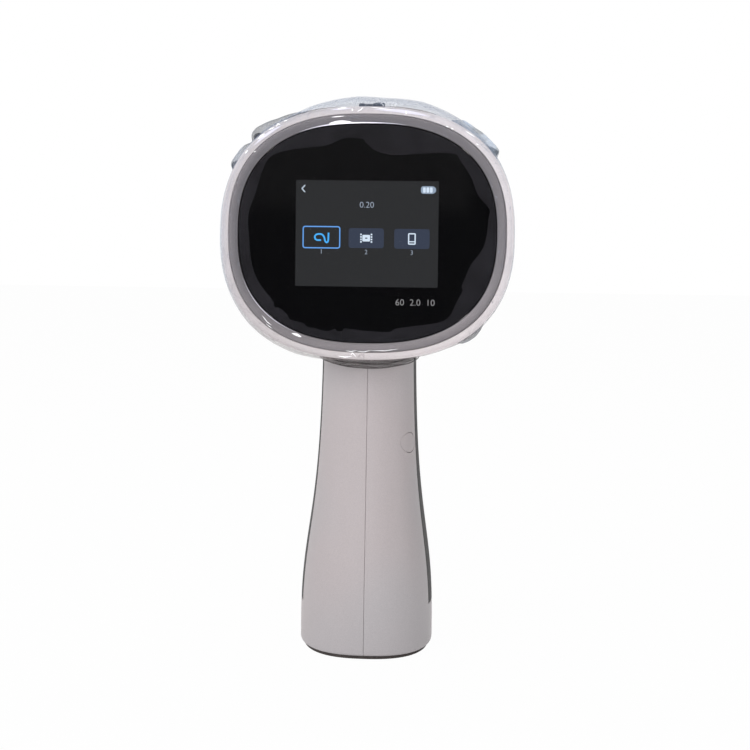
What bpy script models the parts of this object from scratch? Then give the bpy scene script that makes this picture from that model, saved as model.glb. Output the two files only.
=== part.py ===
"""Handheld dental x-ray unit: a round head on a flared handle, with a screen behind and a cone in front.

Metres, +Z up. The origin is on the floor under the middle of the handle, the beam leaves along +Y and
the screen faces -Y. Head pieces hang on an empty at the focal spot, so their places are measured from
the beam axis. Handle pieces are measured from the floor.
"""

import math

import bmesh
import bpy
import numpy as np

# Gaps, cuts and smoothness
clearance = 0.0003
overrun = 0.004
fine_sides = 36
round_sides = 20
small_sides = 12
hexagon_sides = 6
sharp_angle = math.radians(35)
board_thickness = 0.0016

# Head shell
head_above_neck = 0.065
head_half_width = 0.0665
head_half_height = 0.0575
head_exponent = 2.45
head_front = 0.066
head_wall = 0.0032
head_rim_round = 0.0025
head_taper_power = 2.2
nose_ledge = 0.006
nose_wall = 0.003
head_stations = 9
rounding_stations = 3

# Handle shell, with its room round the four cells at the foot and at the neck
base_side_room = 0.0139
base_depth_room = 0.0179
neck_side_room = 0.0036
neck_depth_room = 0.0059
neck_above_pin = 0.0005
handle_exponent = 2.5
handle_wall = 0.0024
handle_foot_round = 0.0012
handle_swell_share = 0.49
handle_swell_power = 3.3
handle_flare = 0.005
handle_reach_share = 0.32
handle_stations = 8

# Front grip
grip_thickness = 0.0018
grip_bottom = 0.022
grip_above_window = 0.0024
grip_edge_angle = math.radians(-20)

# Base plate, rubber pad and charging contacts
pad_thickness = 0.0015
pad_inset = 0.0005
plate_thickness = 0.0035
base_screw_inset = 0.009
base_post_radius = 0.005
contact_spread = 0.008
contact_depth = -0.016
contact_radius = 0.0025
contact_flange_radius = 0.0035
contact_flange = 0.001
contact_recess = 0.0004

# Battery
cell_radius = 0.0092
cell_length = 0.065
cell_cap_radius = 0.003
cell_cap_height = 0.0012
cell_gap = 0.0004
cell_bottom = 0.0162
holder_thickness = 0.003
protection_board_half_width = 0.014
protection_board_height = 0.045

# Screws: small ones in the head, larger ones that hold the shell together
screw_radius = 0.00125
screw_head_radius = 0.0022
screw_head_height = 0.0015
shell_screw_radius = 0.0015
shell_screw_head_radius = 0.0028
shell_screw_head_height = 0.002
shell_screw_length = 0.0225
thread_depth = 0.0065

# Plug over the handle screw, both along X
plug_radius = 0.0047
plug_depth = -0.0178
plug_above_holder = 0.0088
plug_inner_face = 0.0127
plug_boss_wall = 0.0014
shell_boss_radius = 0.0038

# Trigger, its pin and its spring
pin_above_plug = 0.0357
pin_depth = 0.0175
pin_radius = 0.0015
pin_overhang = 0.0033
pin_boss_radius = 0.0034
trigger_half_width = 0.0072
trigger_eye_radius = 0.0036
trigger_length = 0.0252
trigger_reach = 0.0125
trigger_back_share = 0.19
trigger_edge_round = 0.0009
slot_above_eye = 0.001
slot_below_trigger = 0.0016
spring_wire_radius = 0.00025
spring_coil_radius = 0.0029
spring_turns = 4.25
spring_pitch = 0.00105
spring_leg = 0.0055
spring_notch_gap = 0.0007
spring_points_per_turn = 8

# Switch behind the trigger
switch_drop = 0.007
switch_half_width = 0.0064
switch_half_height = 0.003
switch_length = 0.006
switch_stroke = 0.0008
plunger_radius = 0.001
plunger_length = 0.0032
plunger_show = 0.0014
trigger_board_half_height = 0.008

# Power button in the roof of the head
button_depth = -0.03
button_radius = 0.005
button_proud = 0.003
button_edge_round = 0.0006
button_flange_ledge = 0.0012
button_flange = 0.0012
button_travel = 0.0008
button_stem_radius = 0.0015
button_stem_entry = 0.0016
power_switch_half_side = 0.003
power_switch_height = 0.004
power_board_half_width = 0.0145
power_board_half_depth = 0.0065
power_post_spread = 0.0115
power_post_radius = 0.0025

# Display, with the room that it and its boards take in the head
display_room = 0.0269
glass_thickness = 0.0018
film_thickness = 0.00025
film_inset = 0.0005
bezel_width = 0.004
bezel_length = 0.0023
bezel_proud = 0.0005
bezel_chamfer = 0.0006
frame_thickness = 0.003
lcd_half_width = 0.0362
lcd_half_height = 0.0275
lcd_thickness = 0.0026
display_board_side_room = 0.0165
display_board_roof_room = 0.0283
display_post_inset = 0.0082
display_post_angle = math.radians(45)
display_post_length = 0.013
main_board_side_room = 0.0305
main_board_roof_room = 0.0195
board_leg_radius = 0.0025
board_leg_length = 0.0075
board_leg_share = 0.85
buzzer_radius = 0.006
buzzer_length = 0.0045

# X-ray tank
tank_half_width = 0.037
tank_roof_room = 0.0012
tank_exponent = 4.0
tank_rear = -0.022
tank_front = 0.034
tank_wall = 0.003
seal_thickness = 0.0015
lid_thickness = 0.003
lid_post_inset = 0.0062
lid_post_angle = math.radians(45)
lid_post_radius = 0.0046
lid_post_length = 0.014
rib_thickness = 0.0025
rear_rib_depth = -0.016
front_rib_depth = 0.026
port_radius = 0.013
filter_thickness = 0.0025
collimator_radius = 0.018
collimator_thickness = 0.003
collimator_aperture = 0.0085

# X-ray tube in the tank, lying along X
shield_gap = 0.002
shield_wall = 0.002
shield_window_radius = 0.009
envelope_radius = 0.0125
envelope_wall = 0.0012
envelope_half_length = 0.024
electrode_radius = 0.0062
electrode_gap = 0.0006
anode_face = -0.003
anode_slant_share = 0.35
cathode_face = 0.006
cathode_cup_radius = 0.0045

# Transformer over the tube and multiplier board under it
core_side_room = 0.014
core_half_depth = 0.012
core_bar = 0.005
winding_end_gap = 0.002
winding_build = 0.0032
multiplier_side_room = 0.0135
multiplier_half_depth = 0.015
capacitor_count = 3
capacitor_radius = 0.0035
capacitor_length = 0.005

# Cone, its lead lining and its trim ring
cone_radius = 0.031
cone_wall = 0.0022
cone_front = 0.2
cone_flange_ledge = 0.0022
cone_flange = 0.0022
cone_lip_round = 0.0008
lining_thickness = 0.0008
lining_setback = 0.003
ring_length = 0.004
ring_inset = 0.0008
ring_slope = 0.0016

# Clear packaging film round the head
wrap_thickness = 0.00025
wrap_rear = -0.0525
wrap_front = 0.024
wrap_least_gap = 0.0009
wrap_most_gap = 0.0039
wrap_peak_share = 0.28
wrap_neck_gap = 0.0012
wrap_stations = 5

# Sizes that follow from others
cell_pitch = 2.0 * cell_radius + cell_gap
cells_half_side = cell_pitch / 2.0 + cell_radius
handle_base_half_width = cells_half_side + base_side_room
handle_base_half_depth = cells_half_side + base_depth_room
handle_neck_half_width = cells_half_side + neck_side_room
handle_neck_half_depth = cells_half_side + neck_depth_room
grip_bed_inset = grip_thickness + clearance
cavity_side_inset = handle_wall + grip_bed_inset
plug_boss_radius = plug_radius + clearance + plug_boss_wall
pin_half_length = trigger_half_width + pin_overhang
button_flange_radius = button_radius + button_flange_ledge
cone_flange_radius = cone_radius + cone_flange_ledge
nose_radius = cone_radius + nose_ledge
bezel_inset = head_wall + clearance
glass_inset = bezel_inset + bezel_width + clearance
glass_half_width = head_half_width - glass_inset
glass_half_height = head_half_height - glass_inset
display_board_half_width = head_half_width - display_board_side_room
display_board_half_height = head_half_height - display_board_roof_room
main_board_half_width = head_half_width - main_board_side_room
main_board_half_height = head_half_height - main_board_roof_room
shield_radius = envelope_radius + shield_gap + shield_wall
winding_reach = core_bar / 2.0 + clearance + winding_build
core_height = shield_radius + clearance + winding_reach
tank_inside_half_width = tank_half_width - tank_wall
core_half_width = tank_inside_half_width - core_side_room
multiplier_half_width = tank_inside_half_width - multiplier_side_room
tank_inside_half_height = core_height + winding_reach + tank_roof_room
tank_half_height = tank_inside_half_height + tank_wall

# Heights from the floor
housing_bottom = pad_thickness + clearance
plate_top = housing_bottom + plate_thickness
base_post_bottom = plate_top + clearance
lower_holder_bottom = cell_bottom - clearance - holder_thickness
upper_holder_bottom = cell_bottom + cell_length + cell_cap_height + clearance
upper_holder_top = upper_holder_bottom + holder_thickness
plug_height = upper_holder_top + plug_above_holder + plug_boss_radius
pin_height = plug_height + pin_above_plug
switch_height = pin_height - switch_drop
window_bottom = pin_height - trigger_length - slot_below_trigger
window_top = pin_height + trigger_eye_radius + slot_above_eye
grip_top = window_top + grip_above_window
handle_neck_height = pin_height + neck_above_pin
head_height = handle_neck_height + head_above_neck
handle_top = head_height - head_half_height * (1.0 - handle_reach_share)

# Depths from the focal spot or the middle of the handle
seal_front = tank_rear - clearance
seal_rear = seal_front - seal_thickness
lid_front = seal_rear - clearance
lid_rear = lid_front - lid_thickness
head_rear = lid_rear - display_room
glass_rear = head_rear + glass_thickness
frame_rear = glass_rear + clearance
frame_front = frame_rear + frame_thickness
display_post_rear = frame_front + clearance
plunger_tip = pin_depth - trigger_back_share * trigger_reach - clearance
switch_face = plunger_tip - plunger_show
switch_back = switch_face - switch_length

# Places
base_screw_spread = handle_base_half_width - base_screw_inset
plug_place = (0.0, plug_depth, plug_height)
pin_place = (0.0, pin_depth, pin_height)
screw_face = plug_inner_face - 2.0 * clearance


def make_material(name, colour, roughness, metallic=0.0, transmission=0.0):
    """A Principled material with a piece's own colour, roughness and metal value."""
    surface = bpy.data.materials.new(name)
    surface.use_nodes = True
    shader = surface.node_tree.nodes["Principled BSDF"]
    shader.inputs["Base Color"].default_value = (*colour, 1.0)
    shader.inputs["Roughness"].default_value = roughness
    shader.inputs["Metallic"].default_value = metallic
    shader.inputs["Transmission Weight"].default_value = transmission
    surface.diffuse_color = (*colour, 1.0)
    return surface


def make_axis(name, place):
    """An empty that pieces hang on."""
    axis = bpy.data.objects.new(name, None)
    bpy.context.scene.collection.objects.link(axis)
    axis.location = place
    return axis


def superellipse_at(angle, half_width, half_height, exponent):
    """Points at given angles of an outline between an ellipse (exponent 2) and a box (a large one)."""
    cosine = np.cos(angle)
    sine = np.sin(angle)
    across = half_width * np.sign(cosine) * np.abs(cosine) ** (2.0 / exponent)
    up = half_height * np.sign(sine) * np.abs(sine) ** (2.0 / exponent)
    return np.stack((across, up), axis=-1)


def superellipse(half_width, half_height, exponent, count=fine_sides):
    """Points all round such an outline."""
    angle = np.linspace(0.0, 2.0 * math.pi, count, endpoint=False)
    return superellipse_at(angle, half_width, half_height, exponent)


def circle(radius, count=round_sides):
    """Points round a circle."""
    return superellipse(radius, radius, 2.0, count)


def rectangle(half_width, half_height):
    """The four corners of a box outline."""
    corner_shares = np.array(((-1, -1), (1, -1), (1, 1), (-1, 1)), dtype=float)
    return corner_shares * (half_width, half_height)


def lift(outline, along, axis):
    """An outline set at a distance along an axis. Its pairs fill the other two axes in their order."""
    outline = np.asarray(outline, dtype=float)
    across = outline[:, 0]
    up = outline[:, 1]
    level = np.full(len(outline), float(along))
    order = {"X": (level, across, up), "Y": (across, level, up), "Z": (across, up, level)}
    return np.stack(order[axis], axis=1)


def loft(name, rings, surface=None, place=(0.0, 0.0, 0.0), parent=None, looped=False):
    """A closed solid through a stack of rings with equal counts, capped, or looped back to the first."""
    rings = np.asarray(rings, dtype=float)
    ring_count, side_count = rings.shape[:2]
    corner = np.arange(ring_count * side_count).reshape(ring_count, side_count)
    following = np.roll(corner, -1, axis=1)
    faces = []
    for ring in range(ring_count if looped else ring_count - 1):
        after = (ring + 1) % ring_count
        quads = np.stack((corner[ring], following[ring], following[after], corner[after]), axis=1)
        faces.extend(quads.tolist())
    if not looped:
        faces.append(corner[0][::-1].tolist())
        faces.append(corner[-1].tolist())
    mesh = bpy.data.meshes.new(name)
    mesh.from_pydata(rings.reshape(-1, 3).tolist(), [], faces)
    edit = bmesh.new()
    edit.from_mesh(mesh)
    bmesh.ops.recalc_face_normals(edit, faces=edit.faces)
    edit.to_mesh(mesh)
    edit.free()
    mesh.shade_smooth()
    mesh.set_sharp_from_angle(angle=sharp_angle)
    if surface is not None:
        mesh.materials.append(surface)
    piece = bpy.data.objects.new(name, mesh)
    bpy.context.scene.collection.objects.link(piece)
    piece.parent = parent
    piece.location = place
    return piece


def slab(name, outline, start, end, surface=None, axis="Y", place=(0.0, 0.0, 0.0), parent=None):
    """An outline pushed straight along an axis."""
    return loft(name, (lift(outline, start, axis), lift(outline, end, axis)), surface, place, parent)


def turned(name, profile, surface=None, axis="Z", place=(0.0, 0.0, 0.0), parent=None, looped=False,
           sides=round_sides):
    """A turned piece. Its profile is pairs of radius and distance along the axis."""
    rings = [lift(circle(radius, sides), along, axis) for radius, along in profile]
    return loft(name, rings, surface, place, parent, looped)


def rod(name, radius, start, end, surface=None, axis="Z", place=(0.0, 0.0, 0.0), parent=None,
        sides=round_sides):
    """A plain round bar, or the cutter for a plain round hole."""
    return turned(name, ((radius, start), (radius, end)), surface, axis, place, parent, sides=sides)


def boolean(target, tool, operation, solver="EXACT"):
    """Works a target with a tool, which becomes a guide. The shell's steps take the manifold solver."""
    step = target.modifiers.new(tool.name, "BOOLEAN")
    step.operation = operation
    step.solver = solver
    step.object = tool
    tool.hide_render = True
    tool.display_type = "WIRE"


def cut(target, tool, solver="EXACT"):
    """Takes the tool's shape out of the target."""
    boolean(target, tool, "DIFFERENCE", solver)


def join(target, tool, solver="EXACT"):
    """Adds the tool's shape to the target."""
    boolean(target, tool, "UNION", solver)


def keep_shared(target, tool, solver="EXACT"):
    """Leaves only what the target shares with the tool."""
    boolean(target, tool, "INTERSECT", solver)


def screw(name, surface, axis, place, head_size, shank_radius, length, parent=None, facing=1.0):
    """A socket screw with the outer face of its head at its origin. Facing -1 points it backwards."""
    head_radius, head_length = head_size
    profile = (
        (head_radius, 0.0),
        (head_radius, facing * head_length),
        (shank_radius, facing * head_length),
        (shank_radius, facing * length),
    )
    piece = turned(name, profile, surface, axis, place, parent, sides=small_sides)
    socket_floor = facing * head_length / 2.0
    cut(piece, rod(f"{name}_socket", head_radius / 2.0, -facing * overrun, socket_floor, None, axis,
                   place, parent, hexagon_sides))
    return piece


def head_fullness(depth):
    """How full the head is at a depth: 1 at the screen, easing to 0 where the nose is round."""
    share = min(max((depth - head_rear) / (head_front - head_rear), 0.0), 1.0)
    return 0.5 * (1.0 + math.cos(math.pi * share ** head_taper_power))


def head_roof(depth):
    """The height of the head's outer skin over the beam axis, at a depth."""
    return nose_radius + (head_half_height - nose_radius) * head_fullness(depth)


def head_section(depth, inset):
    """The head's outline at a depth, drawn in by an inset."""
    fullness = head_fullness(depth)
    half_width = nose_radius + (head_half_width - nose_radius) * fullness
    exponent = 2.0 + (head_exponent - 2.0) * fullness
    return superellipse(half_width - inset, head_roof(depth) - inset, exponent)


def handle_half_sizes(height):
    """The handle's half width and half depth at a height: a flared foot, a slim neck and a root."""
    share = max((height - housing_bottom) / (handle_neck_height - housing_bottom), 0.0)
    swell = 1.0 / (1.0 + (share / handle_swell_share) ** handle_swell_power)
    rise = min(max((height - handle_neck_height) / (handle_top - handle_neck_height), 0.0), 1.0)
    flare = handle_flare * rise ** 2
    half_width = handle_neck_half_width + (handle_base_half_width - handle_neck_half_width) * swell
    half_depth = handle_neck_half_depth + (handle_base_half_depth - handle_neck_half_depth) * swell
    return half_width + flare, half_depth + flare


def handle_outline(height, back_inset, front_inset, side_inset):
    """The handle's outline at a height, drawn in by its own amount behind, in front and at the sides."""
    half_width, half_depth = handle_half_sizes(height)
    outline = superellipse(half_width - side_inset, half_depth - back_inset, handle_exponent)
    front_share = (half_depth - front_inset) / (half_depth - back_inset)
    outline[:, 1] = np.where(outline[:, 1] > 0.0, outline[:, 1] * front_share, outline[:, 1])
    return outline


def handle_space_outline(height, gap=0.0):
    """The outline of the space in the handle, or of a piece that fits it with a gap."""
    side = cavity_side_inset + gap
    return handle_outline(height, handle_wall + gap, side, side)


def handle_space_half_width(height, depth):
    """How wide the space in the handle is at a height and a depth in front of the middle."""
    half_width, half_depth = handle_half_sizes(height)
    share = depth / (half_depth - cavity_side_inset)
    return (half_width - cavity_side_inset) * (1.0 - share ** handle_exponent) ** (1.0 / handle_exponent)


def head_form(name):
    """The head's outer form: a rounded rim behind, then sections that ease into the round nose."""
    rings = []
    for turn in np.linspace(0.0, math.pi / 2.0, rounding_stations):
        depth = head_rear + head_rim_round * (1.0 - math.sin(turn))
        inset = head_rim_round * (1.0 - math.cos(turn))
        rings.append(lift(head_section(depth, inset), depth, "Y"))
    rings.reverse()
    for depth in np.linspace(head_rear + head_rim_round, head_front, head_stations)[1:]:
        rings.append(lift(head_section(depth, 0.0), depth, "Y"))
    return loft(name, rings, parent=head)


def head_space(name):
    """The space in the head, open behind for the screen and closed by the nose wall in front."""
    rings = [lift(head_section(head_rear, head_wall), head_rear - overrun, "Y")]
    for depth in np.linspace(head_rear, head_front - nose_wall, head_stations)[1:]:
        rings.append(lift(head_section(depth, head_wall), depth, "Y"))
    return loft(name, rings, parent=head)


def handle_form(name, gap=0.0):
    """The handle's outer form with a rounded foot, grown by a gap where it is a cutter."""
    rings = []
    for turn in np.linspace(0.0, math.pi / 2.0, rounding_stations):
        height = housing_bottom + handle_foot_round * (1.0 - math.sin(turn))
        inset = handle_foot_round * (1.0 - math.cos(turn)) - gap
        rings.append(lift(handle_outline(height, inset, inset, inset), height, "Z"))
    rings.reverse()
    for height in np.linspace(housing_bottom + handle_foot_round, handle_top, handle_stations)[1:]:
        rings.append(lift(handle_outline(height, -gap, -gap, -gap), height, "Z"))
    return loft(name, rings)


def handle_space(name):
    """The space in the handle, open at the foot and into the head."""
    rings = [lift(handle_space_outline(housing_bottom), housing_bottom - overrun, "Z")]
    for height in np.linspace(housing_bottom, handle_top + overrun, handle_stations)[1:]:
        rings.append(lift(handle_space_outline(height), height, "Z"))
    return loft(name, rings)


def grip_band(name, surface=None, outer_inset=0.0, gap=0.0):
    """A band round the front of the handle, from one side to the other: the grip, or its bed."""
    edge = grip_edge_angle - gap / handle_neck_half_width
    angle = np.linspace(edge, math.pi - edge, round_sides)
    inner_inset = grip_thickness + gap
    rings = []
    for height in np.linspace(grip_bottom - gap, grip_top + gap, handle_stations):
        half_width, half_depth = handle_half_sizes(height)
        outer = superellipse_at(angle, half_width - outer_inset, half_depth - outer_inset, handle_exponent)
        inner = superellipse_at(angle, half_width - inner_inset, half_depth - inner_inset, handle_exponent)
        rings.append(lift(np.concatenate((outer, inner[::-1])), height, "Z"))
    return loft(name, rings, surface)


def trigger_window(name):
    """The window in the front of the handle that the trigger moves in."""
    middle = (window_top + window_bottom) / 2.0
    outline = rectangle(trigger_half_width + clearance, window_top - middle)
    start = pin_depth - pin_boss_radius - overrun
    return slab(name, outline, start, handle_base_half_depth + overrun, None, "Y", (0.0, 0.0, middle))


def tank_rib(name, rear):
    """A web inside the head that carries the tank, rooted in the shell's wall."""
    front = rear + rib_thickness
    inner = superellipse(tank_half_width + clearance, tank_half_height + clearance, tank_exponent)
    rings = (
        lift(head_section(rear, 0.0), rear, "Y"),
        lift(head_section(front, 0.0), front, "Y"),
        lift(inner, front, "Y"),
        lift(inner, rear, "Y"),
    )
    return loft(name, rings, parent=head, looped=True)


def four_corners(half_width, half_height, exponent, angle):
    """Four places on an outline, one in each quarter."""
    angles = np.array((angle, math.pi - angle, math.pi + angle, -angle))
    return superellipse_at(angles, half_width, half_height, exponent)


def display_post_places():
    """Where the four screws of the display frame stand."""
    return four_corners(head_half_width - display_post_inset, head_half_height - display_post_inset,
                        head_exponent, display_post_angle)


def lid_post_places():
    """Where the four screws of the tank lid stand."""
    return four_corners(tank_half_width - lid_post_inset, tank_half_height - lid_post_inset,
                        tank_exponent, lid_post_angle)


def inner_posts():
    """The ribs, posts and bosses that the shell has inside. They are left standing in its space."""
    posts = [tank_rib("rear_tank_rib", rear_rib_depth), tank_rib("front_tank_rib", front_rib_depth)]
    post_radius = display_post_inset - head_wall / 2.0
    for number, (across, up) in enumerate(display_post_places(), start=1):
        place = (across, display_post_rear, up)
        posts.append(rod(f"display_post_{number}", post_radius, 0.0, display_post_length, None, "Y",
                         place, head))
    for side, sign in (("left", -1.0), ("right", 1.0)):
        place = (sign * power_post_spread, button_depth, 0.0)
        posts.append(rod(f"power_post_{side}", power_post_radius, power_board_top() + clearance,
                         head_half_height, None, "Z", place, head))
        place = (sign * base_screw_spread, 0.0, 0.0)
        posts.append(rod(f"base_post_{side}", base_post_radius, base_post_bottom,
                         lower_holder_bottom - clearance, None, "Z", place))
    posts.append(rod("plug_boss", plug_boss_radius, 0.0, handle_base_half_width, None, "X", plug_place))
    posts.append(rod("screw_boss", shell_boss_radius, -handle_base_half_width, clearance, None, "X",
                     plug_place))
    pin_boss_end = pin_half_length + pin_boss_radius
    posts.append(rod("pin_boss", pin_boss_radius, -pin_boss_end, pin_boss_end, None, "X", pin_place))
    return posts


def shell_cuts():
    """The holes that are cut through the shell and into its posts."""
    cuts = [grip_band("grip_bed", None, -overrun, clearance), trigger_window("trigger_window")]
    hole_radius = screw_radius + clearance
    for number, (across, up) in enumerate(display_post_places(), start=1):
        place = (across, display_post_rear, up)
        cuts.append(rod(f"display_post_hole_{number}", hole_radius, -overrun, thread_depth, None, "Y",
                        place, head, small_sides))
    base_hole_radius = shell_screw_radius + clearance
    for side, sign in (("left", -1.0), ("right", 1.0)):
        place = (sign * base_screw_spread, 0.0, base_post_bottom)
        cuts.append(rod(f"base_post_hole_{side}", base_hole_radius, -overrun / 2.0, thread_depth, None,
                        "Z", place, None, small_sides))
    pin_hole_end = pin_half_length + clearance
    cuts.append(rod("pin_hole", pin_radius + clearance, -pin_hole_end, pin_hole_end, None, "X",
                    pin_place, None, small_sides))
    roof = head_roof(button_depth)
    cuts.append(rod("button_hole", button_radius + clearance, roof - head_wall - overrun, roof + overrun,
                    None, "Z", (0.0, button_depth, 0.0), head))
    cuts.append(rod("cone_bore", cone_radius + clearance, head_front - nose_wall - overrun,
                    head_front + overrun, None, "Y", (0.0, 0.0, 0.0), head, fine_sides))
    cuts.append(plug_and_screw_hole())
    return cuts


def plug_and_screw_hole():
    """The stepped hole across the handle: plug, screw head, then shank on into the left half."""
    plug_cut = plug_radius + clearance
    head_cut = shell_screw_head_radius + clearance
    shank_cut = shell_screw_radius + clearance
    head_seat = screw_face - shell_screw_head_height - clearance
    tip = screw_face - shell_screw_length - clearance
    profile = (
        (plug_cut, handle_base_half_width + overrun),
        (plug_cut, plug_inner_face - clearance),
        (head_cut, plug_inner_face - clearance),
        (head_cut, head_seat),
        (shank_cut, head_seat),
        (shank_cut, tip),
    )
    return turned("plug_hole", profile, None, "X", plug_place)


def make_housing(painted):
    """Two shell halves. A whole shell is worked as a guide, then parted on the middle plane.

    The exact solver loses one of the halves, so each step takes the manifold one.
    """
    solver = "MANIFOLD"
    shell = head_form("whole_shell")
    join(shell, handle_form("handle_form"), solver)
    space = head_space("shell_space")
    join(space, handle_space("handle_space"), solver)
    for post in inner_posts():
        cut(space, post, solver)
    cut(shell, space, solver)
    for hole in shell_cuts():
        cut(shell, hole, solver)
    height = head_height + head_half_height + overrun
    outline = rectangle(head_front + overrun, height / 2.0)
    middle = (0.0, 0.0, height / 2.0)
    for side, sign in (("left", -1.0), ("right", 1.0)):
        parting = sign * clearance / 2.0
        reach = sign * (head_half_width + overrun)
        half = slab(f"{side}_housing", outline, parting, reach, painted, "X", middle)
        keep_shared(half, shell, solver)


def make_plug_and_screw(painted, steel):
    """The screw that draws the handle halves together, and the flush plug over its head."""
    plug = rod("screw_plug", plug_radius, plug_inner_face, handle_base_half_width, painted, "X", plug_place)
    keep_shared(plug, bpy.data.objects["handle_form"])
    screw("handle_screw", steel, "X", (screw_face, plug_depth, plug_height),
          (shell_screw_head_radius, shell_screw_head_height), shell_screw_radius,
          shell_screw_length, facing=-1.0)


def make_front_grip(rubber):
    """The dark soft skin on the front of the handle, flush in its bed, with the trigger's window."""
    cut(grip_band("front_grip", rubber), bpy.data.objects["trigger_window"])


def make_base(dark_plastic, rubber, brass, steel):
    """The plate that closes the foot, its two screws, the rubber pad and the charging contacts."""
    plate = slab("base_plate", handle_space_outline(housing_bottom, clearance), housing_bottom, plate_top,
                 dark_plastic, "Z")
    edge = handle_foot_round + pad_inset
    pad = slab("base_pad", handle_outline(housing_bottom, edge, edge, edge), 0.0, pad_thickness, rubber, "Z")
    head_cut = shell_screw_head_radius + clearance
    shank_cut = shell_screw_radius + clearance
    head_seat = housing_bottom + shell_screw_head_height + clearance
    screw_cut = (
        (head_cut, housing_bottom - overrun),
        (head_cut, head_seat),
        (shank_cut, head_seat),
        (shank_cut, plate_top + overrun),
    )
    screw_end = base_post_bottom + thread_depth - clearance
    for side, sign in (("left", -1.0), ("right", 1.0)):
        across = sign * base_screw_spread
        cut(plate, turned(f"base_screw_cut_{side}", screw_cut, None, "Z", (across, 0.0, 0.0)))
        screw(f"base_screw_{side}", steel, "Z", (across, 0.0, housing_bottom),
              (shell_screw_head_radius, shell_screw_head_height), shell_screw_radius,
              screw_end - housing_bottom)
    flange_bottom = plate_top + clearance
    contact = (
        (contact_radius, contact_recess),
        (contact_radius, flange_bottom),
        (contact_flange_radius, flange_bottom),
        (contact_flange_radius, flange_bottom + contact_flange),
    )
    for side, sign in (("left", -1.0), ("right", 1.0)):
        place = (sign * contact_spread, contact_depth, 0.0)
        hole = rod(f"contact_cut_{side}", contact_radius + clearance, -overrun, plate_top + overrun,
                   None, "Z", place)
        cut(plate, hole)
        cut(pad, hole)
        turned(f"charge_contact_{side}", contact, brass, "Z", place)


def make_battery(cell_wrap, holder_plastic, board_green):
    """Four cells in two rows, the holder at each end of them and the protection board behind."""
    profile = (
        (cell_radius, 0.0),
        (cell_radius, cell_length),
        (cell_cap_radius, cell_length),
        (cell_cap_radius, cell_length + cell_cap_height),
    )
    half_pitch = cell_pitch / 2.0
    for number, (across, depth) in enumerate(rectangle(half_pitch, half_pitch), start=1):
        turned(f"battery_cell_{number}", profile, cell_wrap, "Z", (across, depth, cell_bottom))
    for name, bottom in (("lower_cell_holder", lower_holder_bottom), ("upper_cell_holder", upper_holder_bottom)):
        top = bottom + holder_thickness
        slab(name, handle_space_outline(top, clearance), bottom, top, holder_plastic, "Z")
    board_front = -(half_pitch + cell_radius + clearance)
    slab("protection_board", rectangle(protection_board_half_width, protection_board_height / 2.0),
         board_front - board_thickness, board_front, board_green, "Y",
         (0.0, 0.0, cell_bottom + cell_length / 2.0))


def trigger_outline():
    """The trigger's side view round its pin, as depth and height: eye, flat back, toe and finger saddle."""
    eye_angle = np.linspace(math.radians(60), math.radians(200), small_sides // 2)
    eye = trigger_eye_radius * np.stack((np.cos(eye_angle), np.sin(eye_angle)), axis=1)
    back_shares = np.array((
        (-trigger_back_share, -0.12), (-trigger_back_share, -0.36), (0.3, -0.84), (0.42, -1.0),
    ))
    face_shares = np.array((
        (0.84, -1.0), (0.97, -0.95), (1.0, -0.86), (0.93, -0.7), (0.87, -0.54),
        (0.86, -0.38), (0.88, -0.22), (0.84, -0.06), (0.7, 0.06), (0.45, 0.12),
    ))
    return np.concatenate((eye, np.concatenate((back_shares, face_shares)) * (trigger_reach, trigger_length)))


def make_trigger(dark_plastic, steel):
    """The exposure trigger on its pin, notched in the middle for its torsion spring."""
    axis = make_axis("trigger_axis", pin_place)
    trigger = slab("trigger", trigger_outline(), -trigger_half_width, trigger_half_width, dark_plastic,
                   "X", parent=axis)
    rounding = trigger.modifiers.new("edge_rounding", "BEVEL")
    rounding.width = trigger_edge_round
    rounding.segments = 2
    rounding.limit_method = "ANGLE"
    rounding.angle_limit = math.radians(60)
    hole_end = trigger_half_width + overrun
    cut(trigger, rod("trigger_hole", pin_radius + clearance, -hole_end, hole_end, None, "X",
                     parent=axis, sides=small_sides))
    coil_half_length = spring_turns * spring_pitch / 2.0 + spring_wire_radius
    notch_half_width = coil_half_length + spring_notch_gap
    notch_edge = spring_coil_radius + spring_wire_radius + clearance
    notch_half_size = notch_edge + overrun
    cut(trigger, slab("spring_notch", rectangle(notch_half_size, notch_half_size), -notch_half_width,
                      notch_half_width, None, "X", (0.0, -overrun, overrun), axis))
    rod("trigger_pin", pin_radius, -pin_half_length, pin_half_length, steel, "X", pin_place,
        sides=small_sides)
    make_trigger_spring(steel, axis)


def make_trigger_spring(steel, axis):
    """A torsion spring round the pin: one helix with a leg back at one end and a leg down at the other."""
    turns = np.linspace(0.0, spring_turns, round(spring_turns * spring_points_per_turn) + 1)
    angle = 2.0 * math.pi * turns + math.pi / 2.0
    across = spring_pitch * (turns - spring_turns / 2.0)
    coil = np.stack((across, spring_coil_radius * np.cos(angle), spring_coil_radius * np.sin(angle)), axis=1)
    back_leg = coil[:1] + ((0.0, -spring_leg, 0.0),)
    down_leg = coil[-1:] + ((0.0, 0.0, -spring_leg),)
    path = np.concatenate((back_leg, coil, down_leg))
    curve = bpy.data.curves.new("trigger_spring", "CURVE")
    curve.dimensions = "3D"
    curve.bevel_depth = spring_wire_radius
    curve.bevel_resolution = 1
    curve.use_fill_caps = True
    wire = curve.splines.new("POLY")
    wire.points.add(len(path) - 1)
    for point, place in zip(wire.points, path):
        point.co = (*place, 1.0)
    curve.materials.append(steel)
    spring = bpy.data.objects.new("trigger_spring", curve)
    bpy.context.scene.collection.objects.link(spring)
    spring.parent = axis
    print(f"trigger spring: {spring_pitch - 2.0 * spring_wire_radius:.5f} m between its turns")


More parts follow.
